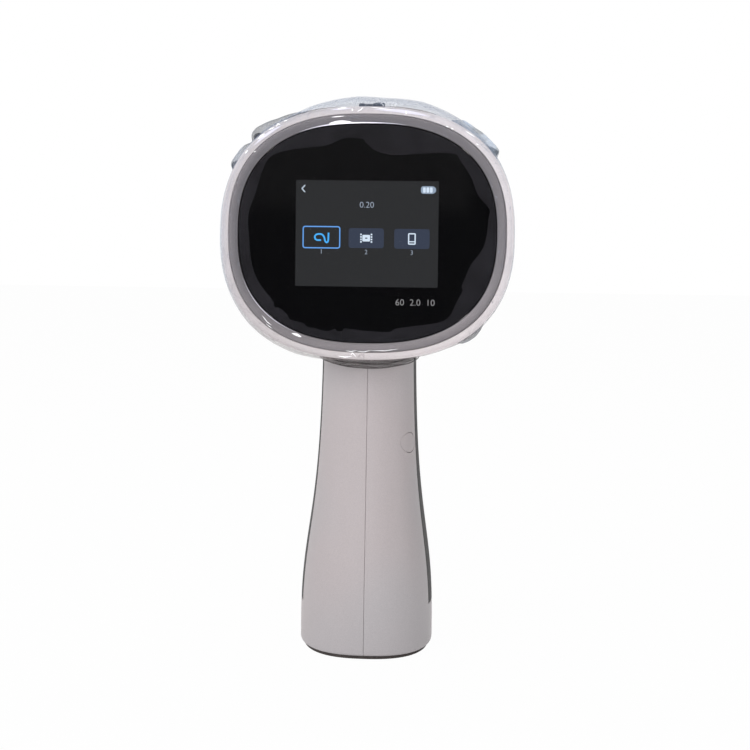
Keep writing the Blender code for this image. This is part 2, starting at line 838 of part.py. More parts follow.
def make_trigger_switch(dark_plastic, white_plastic, board_green):
    """The switch on its board behind the trigger, and the plunger that the trigger pushes in."""
    middle = (0.0, 0.0, switch_height)
    body = slab("trigger_switch", rectangle(switch_half_width, switch_half_height), switch_back,
                switch_face, dark_plastic, "Y", middle)
    hole_floor = plunger_tip - plunger_length - switch_stroke - clearance
    cut(body, rod("plunger_hole", plunger_radius + clearance, hole_floor, switch_face + overrun, None,
                  "Y", middle, sides=small_sides))
    rod("switch_plunger", plunger_radius, -plunger_length, 0.0, white_plastic, "Y",
        (0.0, plunger_tip, switch_height), sides=small_sides)
    board_front = switch_back - clearance
    half_width = handle_space_half_width(handle_neck_height, board_front) - clearance
    slab("trigger_board", rectangle(half_width, trigger_board_half_height),
         board_front - board_thickness, board_front, board_green, "Y", middle)


def button_flange_top():
    """The top of the button's flange, a gap below the lowest of the roof that it meets."""
    return head_roof(button_depth + button_flange_radius) - head_wall - clearance


def power_switch_top():
    """The top of the switch under the power button, its travel below the flange."""
    return button_flange_top() - button_flange - button_travel - clearance


def power_board_top():
    """The top of the small board that the power switch stands on."""
    return power_switch_top() - power_switch_height - clearance


def make_power_button(dark_plastic, board_green):
    """The power button in the roof, its switch and the small board under it."""
    stem_end = power_switch_top() - button_stem_entry
    flange_bottom = button_flange_top() - button_flange
    top = head_roof(button_depth) + button_proud
    profile = (
        (button_stem_radius, stem_end),
        (button_stem_radius, flange_bottom),
        (button_flange_radius, flange_bottom),
        (button_flange_radius, button_flange_top()),
        (button_radius, button_flange_top()),
        (button_radius, top - button_edge_round),
        (button_radius - button_edge_round, top),
    )
    place = (0.0, button_depth, 0.0)
    turned("power_button", profile, dark_plastic, "Z", place, head)
    body = slab("power_switch", rectangle(power_switch_half_side, power_switch_half_side),
                power_switch_top() - power_switch_height, power_switch_top(), dark_plastic, "Z", place, head)
    hole_floor = stem_end - button_travel - clearance
    cut(body, rod("stem_hole", button_stem_radius + clearance, hole_floor, power_switch_top() + overrun,
                  None, "Z", place, head, small_sides))
    slab("power_board", rectangle(power_board_half_width, power_board_half_depth),
         power_board_top() - board_thickness, power_board_top(), board_green, "Z", place, head)


def make_display(dark_glass, clear_film, bezel_metal, dark_plastic, lcd_black, steel):
    """Glass, its film and the bezel, over the frame that holds the screen."""
    glass = superellipse(glass_half_width, glass_half_height, head_exponent)
    slab("display_glass", glass, head_rear, glass_rear, dark_glass, parent=head)
    film = superellipse(glass_half_width - film_inset, glass_half_height - film_inset, head_exponent)
    film_front = head_rear - clearance
    slab("display_film", film, film_front - film_thickness, film_front, clear_film, parent=head)
    make_bezel(bezel_metal)
    frame = slab("display_frame", head_section(head_rear, bezel_inset), frame_rear, frame_front,
                 dark_plastic, parent=head)
    window = rectangle(lcd_half_width + clearance, lcd_half_height + clearance)
    cut(frame, slab("lcd_window", window, frame_rear - overrun, frame_front + overrun, parent=head))
    slab("lcd_panel", rectangle(lcd_half_width, lcd_half_height), frame_rear,
         frame_rear + lcd_thickness, lcd_black, parent=head)
    make_display_screws(frame, steel)


def make_bezel(bezel_metal):
    """The metal ring round the glass, chamfered on its outer edge."""
    outer = head_section(head_rear, bezel_inset)
    chamfered = head_section(head_rear, bezel_inset + bezel_chamfer)
    inner = superellipse(glass_half_width + clearance, glass_half_height + clearance, head_exponent)
    face = head_rear - bezel_proud
    back = face + bezel_length
    rings = (
        lift(chamfered, face, "Y"),
        lift(outer, face + bezel_chamfer, "Y"),
        lift(outer, back, "Y"),
        lift(inner, back, "Y"),
        lift(inner, face, "Y"),
    )
    loft("rear_bezel", rings, bezel_metal, parent=head, looped=True)


def make_display_screws(frame, steel):
    """Four screws through the frame into the shell's posts, their heads sunk in the frame."""
    head_cut = screw_head_radius + clearance
    shank_cut = screw_radius + clearance
    head_seat = screw_head_height + clearance
    profile = (
        (head_cut, -overrun),
        (head_cut, head_seat),
        (shank_cut, head_seat),
        (shank_cut, frame_thickness + overrun),
    )
    length = frame_thickness + thread_depth
    for number, (across, up) in enumerate(display_post_places(), start=1):
        place = (across, frame_rear, up)
        cut(frame, turned(f"display_screw_cut_{number}", profile, None, "Y", place, head))
        screw(f"display_screw_{number}", steel, "Y", place, (screw_head_radius, screw_head_height),
              screw_radius, length, head)


def make_boards(board_green, dark_plastic):
    """The display board behind the frame, the main board on four legs, and the buzzer on it."""
    display_rear = frame_front + clearance
    slab("display_board", rectangle(display_board_half_width, display_board_half_height),
         display_rear, display_rear + board_thickness, board_green, parent=head)
    legs_rear = display_rear + board_thickness + clearance
    board_rear = legs_rear + board_leg_length
    board_front = board_rear + board_thickness
    board = slab("main_board", rectangle(main_board_half_width, main_board_half_height), board_rear,
                 board_front, board_green, parent=head)
    leg_across = main_board_half_width * board_leg_share
    leg_up = display_board_half_height * board_leg_share
    for number, (across, up) in enumerate(rectangle(leg_across, leg_up), start=1):
        join(board, rod(f"board_leg_{number}", board_leg_radius, legs_rear,
                        board_front - board_thickness / 2.0, None, "Y", (across, 0.0, up), head,
                        small_sides))
    buzzer_rear = board_front + clearance
    rod("buzzer", buzzer_radius, buzzer_rear, buzzer_rear + buzzer_length, dark_plastic, "Y",
        (leg_across / 2.0, 0.0, leg_up), head)


def make_tank(tank_metal, rubber, steel):
    """The oil tank: a body with four posts and a beam port, its seal, its lid and the lid's screws."""
    outline = superellipse(tank_half_width, tank_half_height, tank_exponent)
    inside = superellipse(tank_inside_half_width, tank_inside_half_height, tank_exponent)
    body = slab("tank_body", outline, tank_rear, tank_front, tank_metal, parent=head)
    space = slab("tank_space", inside, tank_rear - overrun, tank_front - tank_wall, parent=head)
    lid = slab("tank_lid", outline, lid_rear, lid_front, tank_metal, parent=head)
    head_face = lid_rear - clearance - screw_head_height
    screw_tip = tank_rear + thread_depth
    holes = []
    for number, (across, up) in enumerate(lid_post_places(), start=1):
        place = (across, 0.0, up)
        cut(space, rod(f"lid_post_{number}", lid_post_radius, tank_rear, tank_rear + lid_post_length,
                       None, "Y", place, head))
        hole = rod(f"tank_screw_hole_{number}", screw_radius + clearance, lid_rear - overrun, screw_tip,
                   None, "Y", place, head, small_sides)
        cut(lid, hole)
        holes.append(hole)
        screw(f"tank_screw_{number}", steel, "Y", (across, head_face, up),
              (screw_head_radius, screw_head_height), screw_radius, screw_tip - clearance - head_face, head)
    cut(body, space)
    for hole in holes:
        cut(body, hole)
    cut(body, rod("beam_port", port_radius + clearance, tank_front - tank_wall - overrun,
                  tank_front + overrun, None, "Y", parent=head))
    rings = (
        lift(outline, seal_rear, "Y"), lift(outline, seal_front, "Y"),
        lift(inside, seal_front, "Y"), lift(inside, seal_rear, "Y"),
    )
    loft("tank_seal", rings, rubber, parent=head, looped=True)


def make_filter_and_collimator(aluminium, lead):
    """The aluminium filter in the tank's port and the lead plate that narrows the beam."""
    filter_front = tank_front - clearance
    rod("aluminium_filter", port_radius, filter_front - filter_thickness, filter_front, aluminium, "Y",
        parent=head)
    rear = tank_front + clearance
    front = rear + collimator_thickness
    profile = (
        (collimator_radius, rear), (collimator_radius, front),
        (collimator_aperture, front), (collimator_aperture, rear),
    )
    turned("collimator_plate", profile, lead, "Y", parent=head, looped=True)


def make_tube(clear_glass, copper, steel, lead):
    """The x-ray tube in its lead shield: glass envelope, slanted anode and cathode cup on one axis."""
    height_share = shield_radius / tank_inside_half_height
    shield_end = tank_inside_half_width * (1.0 - height_share ** tank_exponent) ** (1.0 / tank_exponent)
    shield_end -= clearance
    shield_inner = shield_radius - shield_wall
    shield_profile = (
        (shield_radius, -shield_end), (shield_radius, shield_end),
        (shield_inner, shield_end), (shield_inner, -shield_end),
    )
    shield = turned("lead_shield", shield_profile, lead, "X", parent=head, looped=True)
    cut(shield, rod("shield_window", shield_window_radius, 0.0, shield_radius + overrun, None, "Y",
                    parent=head))
    mouth = electrode_radius + electrode_gap
    bulb = envelope_radius - envelope_wall
    end = envelope_half_length
    wall_face = envelope_half_length - envelope_wall
    envelope_profile = (
        (mouth, -end), (envelope_radius, -end), (envelope_radius, end), (mouth, end),
        (mouth, wall_face), (bulb, wall_face), (bulb, -wall_face), (mouth, -wall_face),
    )
    turned("tube_envelope", envelope_profile, clear_glass, "X", parent=head, looped=True)
    electrode_end = tank_inside_half_width - clearance
    anode = rod("tube_anode", electrode_radius, -electrode_end, anode_face, copper, "X", parent=head)
    slant = electrode_radius * anode_slant_share
    edge = electrode_radius + clearance
    wedge = np.array((
        (anode_face - slant, edge), (anode_face + overrun, edge),
        (anode_face + overrun, -edge), (anode_face + slant, -edge),
    ))
    cut(anode, slab("anode_slant", wedge, -edge, edge, None, "Z", parent=head))
    cup_end = cathode_face + cathode_cup_radius
    cathode_profile = (
        (cathode_cup_radius, cathode_face), (cathode_cup_radius, cup_end),
        (electrode_radius, cup_end), (electrode_radius, electrode_end),
    )
    turned("tube_cathode", cathode_profile, steel, "X", parent=head)


def make_high_voltage(ferrite, copper, board_green, capacitor_blue):
    """The transformer over the tube and the multiplier board under it, both inside the tank."""
    half_bar = core_bar / 2.0
    winding_half_length = core_half_width - core_bar - winding_end_gap
    outer = rectangle(core_half_width, core_half_depth)
    inner = rectangle(core_half_width - core_bar, core_half_depth - core_bar)
    rings = (
        lift(outer, -half_bar, "Z"), lift(outer, half_bar, "Z"),
        lift(inner, half_bar, "Z"), lift(inner, -half_bar, "Z"),
    )
    loft("transformer_core", rings, ferrite, (0.0, 0.0, core_height), head, looped=True)
    wound = rectangle(winding_reach, winding_reach)
    hollow = rectangle(half_bar + clearance, half_bar + clearance)
    rings = (
        lift(wound, -winding_half_length, "X"), lift(wound, winding_half_length, "X"),
        lift(hollow, winding_half_length, "X"), lift(hollow, -winding_half_length, "X"),
    )
    loft("transformer_winding", rings, copper, (0.0, half_bar - core_half_depth, core_height), head,
         looped=True)
    board_top = -(shield_radius + clearance)
    board_bottom = board_top - board_thickness
    board = slab("multiplier_board", rectangle(multiplier_half_width, multiplier_half_depth),
                 board_bottom, board_top, board_green, "Z", parent=head)
    board.data.materials.append(capacitor_blue)
    reach = multiplier_half_width - 2.0 * capacitor_radius
    for number, across in enumerate(np.linspace(-reach, reach, capacitor_count), start=1):
        join(board, rod(f"capacitor_{number}", capacitor_radius, board_bottom - capacitor_length,
                        board_bottom + board_thickness / 2.0, None, "Z", (across, 0.0, 0.0), head,
                        small_sides))


def make_cone(cone_plastic, lead, trim):
    """The cone with its flange behind the nose wall, its lead lining and the trim ring at the nose."""
    flange_front = head_front - nose_wall - clearance
    flange_rear = flange_front - cone_flange
    bore = cone_radius - cone_wall
    profile = (
        (cone_flange_radius, flange_rear), (cone_flange_radius, flange_front),
        (cone_radius, flange_front), (cone_radius, cone_front - cone_lip_round),
        (cone_radius - cone_lip_round, cone_front), (bore, cone_front), (bore, flange_rear),
    )
    turned("cone", profile, cone_plastic, "Y", parent=head, looped=True, sides=fine_sides)
    lining_outer = bore - clearance
    lining_inner = lining_outer - lining_thickness
    lining_front = cone_front - lining_setback
    profile = (
        (lining_outer, flange_rear), (lining_outer, lining_front),
        (lining_inner, lining_front), (lining_inner, flange_rear),
    )
    turned("cone_lining", profile, lead, "Y", parent=head, looped=True, sides=fine_sides)
    rear = head_front + clearance
    front = rear + ring_length
    ring_inner = cone_radius + clearance
    ring_outer = nose_radius - ring_inset
    profile = (
        (ring_outer, rear), (ring_outer - ring_slope, front), (ring_inner, front), (ring_inner, rear),
    )
    turned("front_ring", profile, trim, "Y", parent=head, looped=True, sides=fine_sides)


def make_wrapping_film(clear_film):
    """The thin clear film round the head, bagging a little behind, open in front and at the neck."""
    outside = []
    inside = []
    for share in np.linspace(0.0, 1.0, wrap_stations):
        depth = wrap_rear + (wrap_front - wrap_rear) * share
        rise = share / wrap_peak_share
        bag_share = rise * rise * (3.0 - 2.0 * rise) if rise < 1.0 else (1.0 - share) / (1.0 - wrap_peak_share)
        gap = wrap_least_gap + (wrap_most_gap - wrap_least_gap) * bag_share
        outside.append(lift(head_section(depth, -gap - wrap_thickness), depth, "Y"))
        inside.append(lift(head_section(depth, -gap), depth, "Y"))
    film = loft("wrapping_film", outside + inside[::-1], clear_film, parent=head, looped=True)
    cut(film, handle_form("film_neck", wrap_neck_gap))


def make_unit():
    """Builds every piece of the unit with its own material."""
    painted = make_material("painted_grey", (0.60, 0.56, 0.57), 0.42)
    dark_plastic = make_material("dark_plastic", (0.035, 0.035, 0.038), 0.45)
    rubber = make_material("dark_rubber", (0.05, 0.048, 0.047), 0.75)
    bezel_metal = make_material("bezel_metal", (0.27, 0.26, 0.29), 0.35, 1.0)
    dark_glass = make_material("dark_glass", (0.006, 0.006, 0.007), 0.06)
    clear_film = make_material("clear_film", (0.9, 0.92, 0.95), 0.12, 0.0, 0.9)
    lcd_black = make_material("lcd_black", (0.01, 0.011, 0.014), 0.3)
    board_green = make_material("board_green", (0.02, 0.12, 0.05), 0.5)
    steel = make_material("zinc_steel", (0.55, 0.55, 0.56), 0.35, 1.0)
    brass = make_material("gold_brass", (0.75, 0.55, 0.25), 0.3, 1.0)
    aluminium = make_material("aluminium", (0.75, 0.76, 0.77), 0.4, 1.0)
    lead = make_material("lead", (0.2, 0.21, 0.23), 0.6, 1.0)
    copper = make_material("copper", (0.7, 0.32, 0.18), 0.35, 1.0)
    clear_glass = make_material("clear_glass", (0.9, 0.93, 0.92), 0.05, 0.0, 0.9)
    ferrite = make_material("ferrite", (0.05, 0.05, 0.055), 0.7)
    white_plastic = make_material("white_plastic", (0.75, 0.75, 0.73), 0.5)
    cell_wrap = make_material("cell_wrap", (0.05, 0.18, 0.4), 0.35)
    make_housing(painted)
    make_plug_and_screw(painted, steel)
    make_front_grip(rubber)
    make_base(dark_plastic, rubber, brass, steel)
    make_battery(cell_wrap, white_plastic, board_green)
    make_trigger(dark_plastic, steel)
    make_trigger_switch(dark_plastic, white_plastic, board_green)
    make_power_button(dark_plastic, board_green)
    make_display(dark_glass, clear_film, bezel_metal, dark_plastic, lcd_black, steel)
    make_boards(board_green, dark_plastic)
    make_tank(aluminium, rubber, steel)
    make_filter_and_collimator(aluminium, lead)
    make_tube(clear_glass, copper, steel, lead)
    make_high_voltage(ferrite, copper, board_green, cell_wrap)
    make_cone(painted, lead, bezel_metal)
    make_wrapping_film(clear_film)


for leftover in list(bpy.data.objects):
    bpy.data.objects.remove(leftover)
head = make_axis("head_axis", (0.0, 0.0, head_height))
make_unit()
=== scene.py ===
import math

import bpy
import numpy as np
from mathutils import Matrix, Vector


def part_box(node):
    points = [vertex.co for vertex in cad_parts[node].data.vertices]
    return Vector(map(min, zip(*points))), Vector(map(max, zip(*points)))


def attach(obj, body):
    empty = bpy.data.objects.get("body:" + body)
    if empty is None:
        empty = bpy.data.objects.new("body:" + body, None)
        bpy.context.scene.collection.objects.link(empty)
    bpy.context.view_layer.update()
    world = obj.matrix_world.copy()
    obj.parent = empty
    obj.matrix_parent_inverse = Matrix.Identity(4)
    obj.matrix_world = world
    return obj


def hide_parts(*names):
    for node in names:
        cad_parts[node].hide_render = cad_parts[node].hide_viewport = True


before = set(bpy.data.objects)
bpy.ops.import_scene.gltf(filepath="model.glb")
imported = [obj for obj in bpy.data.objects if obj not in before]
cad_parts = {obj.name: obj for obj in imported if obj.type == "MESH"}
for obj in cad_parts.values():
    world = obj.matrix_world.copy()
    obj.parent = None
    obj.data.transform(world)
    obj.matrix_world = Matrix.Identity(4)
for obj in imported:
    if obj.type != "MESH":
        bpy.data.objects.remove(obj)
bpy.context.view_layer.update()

# Handheld dental x-ray unit, dressed and lit as it is photographed from behind, in its packaging film.
# Metres, +Z up. The beam leaves along +Y and the screen faces -Y. Shell, grip and film repeat the forms
# of the model's solids as fine surfaces. Depth means y, across means x and height means z.


def corners(node):
    """Lowest and highest corner of a CAD node as arrays."""
    low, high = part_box(node)
    return np.array(low), np.array(high)


# Sizes from the frame
housing_low, housing_high = corners("right_housing")
glass_low, glass_high = corners("display_glass")
bezel_low, bezel_high = corners("rear_bezel")
ring_low, ring_high = corners("front_ring")
cone_low, cone_high = corners("cone")
lining_low, lining_high = corners("cone_lining")
grip_low, grip_high = corners("front_grip")
pad_high = corners("base_pad")[1]
plug_low, plug_high = corners("screw_plug")
pin_low, pin_high = corners("trigger_pin")
trigger_high = corners("trigger")[1]
button_low, button_high = corners("power_button")
beam_height = (glass_low[2] + glass_high[2]) / 2.0
head_rear = housing_low[1]
head_front = housing_high[1]
head_half_width = housing_high[0]
head_half_height = housing_high[2] - beam_height
housing_bottom = housing_low[2]
glass_half_width = glass_high[0]
glass_half_height = glass_high[2] - beam_height
bezel_half_width = bezel_high[0]
bezel_inset = head_half_width - bezel_half_width
bezel_face = bezel_low[1]
glass_inset = head_half_width - glass_half_width
pin_depth = (pin_low[1] + pin_high[1]) / 2.0
pin_height = (pin_low[2] + pin_high[2]) / 2.0
pin_radius = (pin_high[2] - pin_low[2]) / 2.0
plug_depth = (plug_low[1] + plug_high[1]) / 2.0
plug_height = (plug_low[2] + plug_high[2]) / 2.0
plug_radius = (plug_high[2] - plug_low[2]) / 2.0
button_depth = (button_low[1] + button_high[1]) / 2.0

# Forms shared with the solids
clearance = 0.0003
head_exponent = 2.45
head_taper_power = 2.2
head_rim_round = 0.0013
head_wall = 0.0032
nose_wall = 0.003
ring_inset = 0.0008
ring_slope = 0.0016
nose_radius = ring_high[0] + ring_inset
handle_base_half_width = 0.0325
handle_base_half_depth = 0.0365
handle_neck_half_width = 0.0222
handle_neck_half_depth = 0.0245
handle_exponent = 2.5
handle_wall = 0.0024
handle_foot_round = 0.0012
handle_swell_share = 0.49
handle_swell_power = 3.3
handle_neck_above_pin = 0.0005
handle_neck_height = pin_height + handle_neck_above_pin
handle_flare = 0.005
handle_flare_rise = 0.0259
grip_thickness = 0.0018
grip_edge_angle = math.radians(-20)
trigger_length = 0.0252
trigger_reach = 0.0125
trigger_eye_radius = 0.0036
trigger_back_share = 0.19
trigger_eye_angles = (60.0, 95.0, 130.0, 165.0, 200.0)
trigger_outline_shares = (
    (-trigger_back_share, -0.14), (-trigger_back_share, -0.34), (0.05, -0.6), (0.3, -0.84), (0.5, -0.985),
    (0.84, -1.0), (0.975, -0.95), (1.0, -0.86), (0.93, -0.7), (0.87, -0.54), (0.86, -0.38), (0.88, -0.22),
    (0.84, -0.06), (0.7, 0.06), (0.45, 0.13),
)
slot_above_eye = 0.001
slot_below_trigger = 0.0016
cone_wall = 0.0022
cone_flange_ledge = 0.0022
cone_flange = 0.0022
cone_radius = cone_high[0] - cone_flange_ledge
cone_sides = 144

# Finer edges and gaps that only show here
seam_gap = 0.0001
seam_round = 0.00022
seam_reach_share = 1.6
bed_step_angle = math.radians(0.3)
bezel_gap = 0.00006
return_depth = 0.0022
small_round = 0.0003
nose_edge_round = 0.001
fillet_radius = 0.0026
plug_groove = 0.00025
smooth_angle = math.radians(38)
full_turn = 2.0 * math.pi
quarter_turn = math.pi / 2.0
millimetre = 0.001

# Sizes of the smaller pieces
button_hole_radius = 0.0053
button_radius = 0.005
button_flange_radius = 0.0062
button_flange = 0.0012
button_stem_radius = 0.0015
button_edge_round = 0.0006
button_crown = 0.0002
window_side_gap = 0.0006
window_half_width = trigger_high[0] + window_side_gap
window_low = pin_height - trigger_length - slot_below_trigger
window_high = pin_height + trigger_eye_radius + slot_above_eye
window_exponent = 6.0
grip_edge_round = 0.0006
foot_pad_inset = 0.0017
foot_pad_round = 0.0003
trigger_side_round = 0.0022
notch_half_size = 0.00745
notch_half_width = 0.00318
notch_shift = 0.004
cone_lip_round = 0.0008
lining_thickness = 0.0008
bezel_edge_round = 0.00018
bezel_chamfer = 0.0004
bezel_chamfer_drop = 0.00015
bezel_cove = 0.0005

# The screen's drawing, in metres from the middle of the glass. A sign's own points are shares of
# mark_size or of the named size that its function gives
screen_middle = (0.0, -0.0001)
screen_size = (0.0648, 0.0482)
screen_lifts = (0.00003, 0.00005, 0.00007)
arrow_middle = (-0.029, 0.0201)
arrow_size = (0.0015, 0.0031)
battery_middle = (0.0274, 0.02)
battery_size = (0.0062, 0.0034)
battery_nose = 0.0009
battery_bar_pitch_share = 0.25
battery_bar_shares = (0.2, 0.7)
heading_middle = (-0.0001, 0.0129)
heading_height = 0.0028
tile_middles = ((-0.0206, -0.0019), (-0.0002, -0.0021), (0.0205, -0.0022))
tile_size = (0.016, 0.009)
tile_round = 0.0012
label_height_place = -0.0085
label_height = 0.0021
mark_size = 0.0035
sheet_height_share = 0.85
sheet_band_share = 0.35
sheet_spot_shares = (0.68, 0.16, 0.48)
pane_height_share = 1.5
pane_foot_shares = ((-0.35, -0.36), (0.35, -0.36))
arrow_shares = ((0.5, 1.0), (-0.5, 0.0), (0.5, -1.0))
cable_mark = (
    (-0.05, -0.38), (-0.55, -0.38), (-0.78, -0.26), (-0.86, -0.05), (-0.84, 0.16), (-0.68, 0.34),
    (-0.45, 0.41), (-0.1, 0.42), (0.12, 0.33), (0.26, 0.18), (0.38, -0.03), (0.46, -0.4), (0.55, -0.6),
    (0.7, -0.68), (0.84, -0.58), (0.9, -0.36), (0.92, 0.6),
)
line_width = 0.0004
print_middle = (0.0223, -0.0312)
print_height = 0.003
capital_share = 0.72
figure_thinning = 0.012

# Film. Places on it are in millimetres across and up from the middle of the screen. Places round the
# head are angles in degrees, counted from the right over the top.

# The outline of the blot where the glass's own film clings to it
film_blot = (
    (-45.4, 32.9), (-35.9, 37.4), (-19.0, 39.7), (-10.9, 42.9), (-2.7, 42.9), (-0.4, 40.6), (4.1, 37.4),
    (12.3, 35.6), (25.5, 36.5), (38.7, 36.5), (41.9, 33.3), (46.9, 25.6), (50.0, 17.9), (55.0, 12.0),
    (55.0, 7.9), (53.7, -2.6), (51.4, -8.0), (47.3, -13.5), (45.5, -17.6), (43.2, -23.5), (43.7, -25.3),
    (40.5, -31.7), (38.7, -35.8), (35.5, -39.0), (28.7, -40.8), (15.5, -42.6), (12.5, -43.6),
    (10.5, -44.6), (0.0, -44.2), (-9.2, -43.2), (-10.4, -44.4), (-13.0, -44.5), (-14.2, -43.6),
    (-17.4, -44.6), (-20.6, -44.2), (-23.0, -43.2), (-26.4, -43.0), (-28.6, -41.0), (-32.0, -40.4),
    (-34.6, -39.6), (-36.0, -37.2), (-39.4, -34.4), (-41.6, -34.0), (-42.6, -31.0), (-49.0, -22.6),
    (-52.2, -14.4), (-53.6, -2.6), (-54.0, 7.9), (-50.9, 17.9),
)

# How far the packaging film stands off the head: angle and millimetres
film_lifts = (
    (0.0, 0.15), (12.0, 0.15), (22.0, 0.4), (31.0, 1.0), (37.0, 1.3), (46.0, 2.2), (55.0, 3.2),
    (68.0, 4.8), (82.0, 4.6), (94.0, 5.2), (103.0, 4.4), (114.0, 3.0), (124.0, 1.2), (136.0, 0.7),
    (147.0, 0.6), (160.0, 0.4), (172.0, 0.9), (205.0, 1.3), (218.0, 2.4), (240.0, 2.6), (252.0, 1.9),
    (263.0, 0.8), (305.0, 0.6), (312.0, 1.6), (318.0, 1.6), (324.0, 0.6),
)

# Folds of film that stand out like ears, and darker tucks in them and before the key; the tucks are
# painted shade. Each has a name and its edge's stops: angle and millimetres off the head
film_fold_depth = -0.043
film_folds = (
    ("left_ear", ((156.5, 0.6), (155.3, 1.6), (154.3, 3.0), (152.8, 3.6), (150.0, 3.3), (147.4, 3.3),
                  (145.0, 2.8), (142.6, 1.2), (141.0, 0.3))),
    ("upper_ear", ((142.6, 0.5), (141.6, 2.6), (139.8, 4.4), (137.4, 4.9), (134.9, 4.4), (132.0, 3.9),
                   (129.0, 3.0), (125.0, 2.7), (120.0, 2.0), (115.0, 0.8))),
    ("right_fold", ((54.0, 0.8), (50.4, 3.6), (45.0, 3.3), (41.7, 3.7), (37.6, 3.7), (34.0, 3.8),
                    (32.2, 3.6), (31.4, 1.6), (30.6, 0.4))),
    ("low_ear", ((309.5, 0.3), (311.2, 2.2), (313.7, 2.8), (317.0, 2.8), (320.0, 2.0), (323.4, 0.4))),
)
painted_shade_tucks = (
    ("left_ear", ((156.0, 0.6), (155.2, 1.5), (154.4, 2.6), (153.2, 2.9), (152.0, 2.0), (151.2, 0.6))),
    ("upper_ear", ((141.4, 0.8), (140.4, 2.6), (139.2, 3.0), (138.0, 2.2), (137.2, 0.8))),
    ("key_left", ((94.8, 0.3), (94.4, 1.9), (92.8, 2.1), (91.8, 1.6), (91.3, 0.3))),
    ("key_right", ((88.7, 0.3), (88.2, 2.1), (85.7, 2.5), (83.2, 2.4), (82.7, 0.3))),
    ("right_fold", ((37.2, 0.5), (35.6, 1.9), (33.8, 2.9), (32.4, 3.2), (31.8, 1.4))),
)
film_fold_fullness = 0.0011
film_tuck_fullness = 0.0006
film_fold_columns = 60
film_fold_rows = 14
film_fold_smoothing = 5

# Bright and dark bands along the head's outline; the bright ones, glows and glints, are painted highlights.
# Width and inset in millimetres, and two angles. A layer is a crease's depth in front of the film
painted_film_glints = ((0.5, 7.45, 108.0, 86.0), (1.6, 6.85, 103.0, 94.6), (0.45, 4.2, 101.5, 96.5))
painted_film_glows = ((0.6, 7.35, 117.0, 77.0), (1.4, 1.5, 89.0, 70.0), (1.1, 1.7, 139.0, 122.0),
              (0.8, 0.9, 101.0, 94.0), (0.3, 7.4, 201.0, 243.0))
film_lines = ((0.5, -0.1, 122.0, 97.0), (0.5, -0.1, 87.0, 66.0))
film_band_layer = 1.0
film_band_tip_share = 0.02

# Painted highlights along creases in the film: width in millimetres, and the stops of each crease's line
painted_crease_highlights = (
    (0.35, ((-9.0, -53.4), (-6.5, -53.7), (-3.8, -53.2))),
    (0.35, ((-3.8, -53.5), (-0.6, -53.8), (2.6, -53.0))),
    (0.3, ((2.6, -53.1), (9.0, -53.1), (14.9, -52.2))),
    (0.35, ((-6.6, -55.5), (-5.9, -54.2), (-4.0, -56.3))),
    (0.5, ((-12.5, -55.8), (-9.3, -56.3), (-6.1, -56.0))),
    (0.35, ((-47.3, -37.8), (-45.0, -40.8), (-42.9, -42.3))),
    (0.3, ((-45.5, -41.7), (-42.5, -43.9))),
    (1.2, ((-33.6, -45.8), (-31.2, -46.5), (-29.2, -47.5))),
    (0.6, ((-55.7, 35.6), (-54.4, 37.4))),
    (0.5, ((-51.9, 36.5), (-50.7, 36.7))),
    (0.9, ((-50.2, 42.1), (-48.3, 43.7), (-46.8, 44.8))),
    (0.6, ((-45.1, 46.5), (-43.8, 47.1), (-42.4, 47.6))),
    (0.7, ((-41.7, 48.0), (-40.8, 49.3), (-39.7, 48.8))),
    (0.5, ((-38.3, 50.5), (-36.5, 51.0))),
    (0.7, ((-13.8, 56.2), (-12.0, 56.5), (-9.7, 56.8))),
    (0.8, ((-7.2, 56.4), (-7.0, 55.3))),
    (0.5, ((-4.9, 55.1), (-3.3, 55.9), (-2.3, 56.9))),
    (0.35, ((1.2, 57.0), (5.7, 56.6), (10.7, 56.0))),
    (1.0, ((17.0, 55.4), (17.3, 54.1))),
    (0.5, ((35.0, 48.9), (36.4, 48.3))),
    (0.5, ((37.4, 48.0), (38.6, 47.4))),
    (0.5, ((43.8, 46.8), (46.0, 45.4), (48.3, 43.9))),
    (0.4, ((48.8, 41.1), (49.9, 40.4))),
)
film_crease_layer = 3.0
film_crease_tip_share = 0.05

# Sheets of film. A scale is a count of waves to the metre, and a seed starts a row of random draws
film_thickness = 0.00008
rim_film_lift = 0.0001
film_clinging_gap = 0.0001
film_clinging_depth = bezel_face + film_clinging_gap
film_standing = 0.0001
blot_ring_shares = (0.02, 0.5, 0.9, 1.0)
blot_ripple_share = 0.4
blot_ripples = 9.0
blot_drifts = 4.0
blot_drift_angle = 2.0
film_start_inset = 0.0075
film_turn_radius = 0.0032
film_bezel_gap = 0.0003
film_turn_share = 0.1
film_hem_depth = 0.0255
film_rise_share = 0.22
film_fall_share = 0.35
film_fall_start_share = 0.3
film_crease = 0.00006
film_free_crease = 0.00045
film_crease_rate = 3.0
film_crease_lift = 0.9
crumple_scale_shares = (0.5, 1.6)
film_fold_scale = 34.0
film_fold_waves = 5
film_fold_seed = 4
film_gather_scale = 150.0
film_gather_share = 0.22
film_gather_seed = 9
film_hem_wave = 0.0016
film_hem_start_share = 0.6
film_hem_scale = 30.0
film_hem_seed = 3
film_neck_gap = 0.0015
skirt_drop = 0.0645
skirt_wave = 0.0004
skirt_wave_scale = 60.0
skirt_wave_seed = 5
skirt_side_rise = 0.003
hem_roll_radius = 0.00028
hem_rolls = ((0.0, 0.0, 21), (0.0019, 0.0003, 34))
skirt_gap = 0.0005
skirt_flare = 0.002
skirt_pleat = 0.0004
skirt_pleat_scale = 210.0
skirt_pleat_seed = 6
skirt_pleat_lift = 0.8
skirt_pleat_stretch = 0.4
skirt_reach_share = 1.12

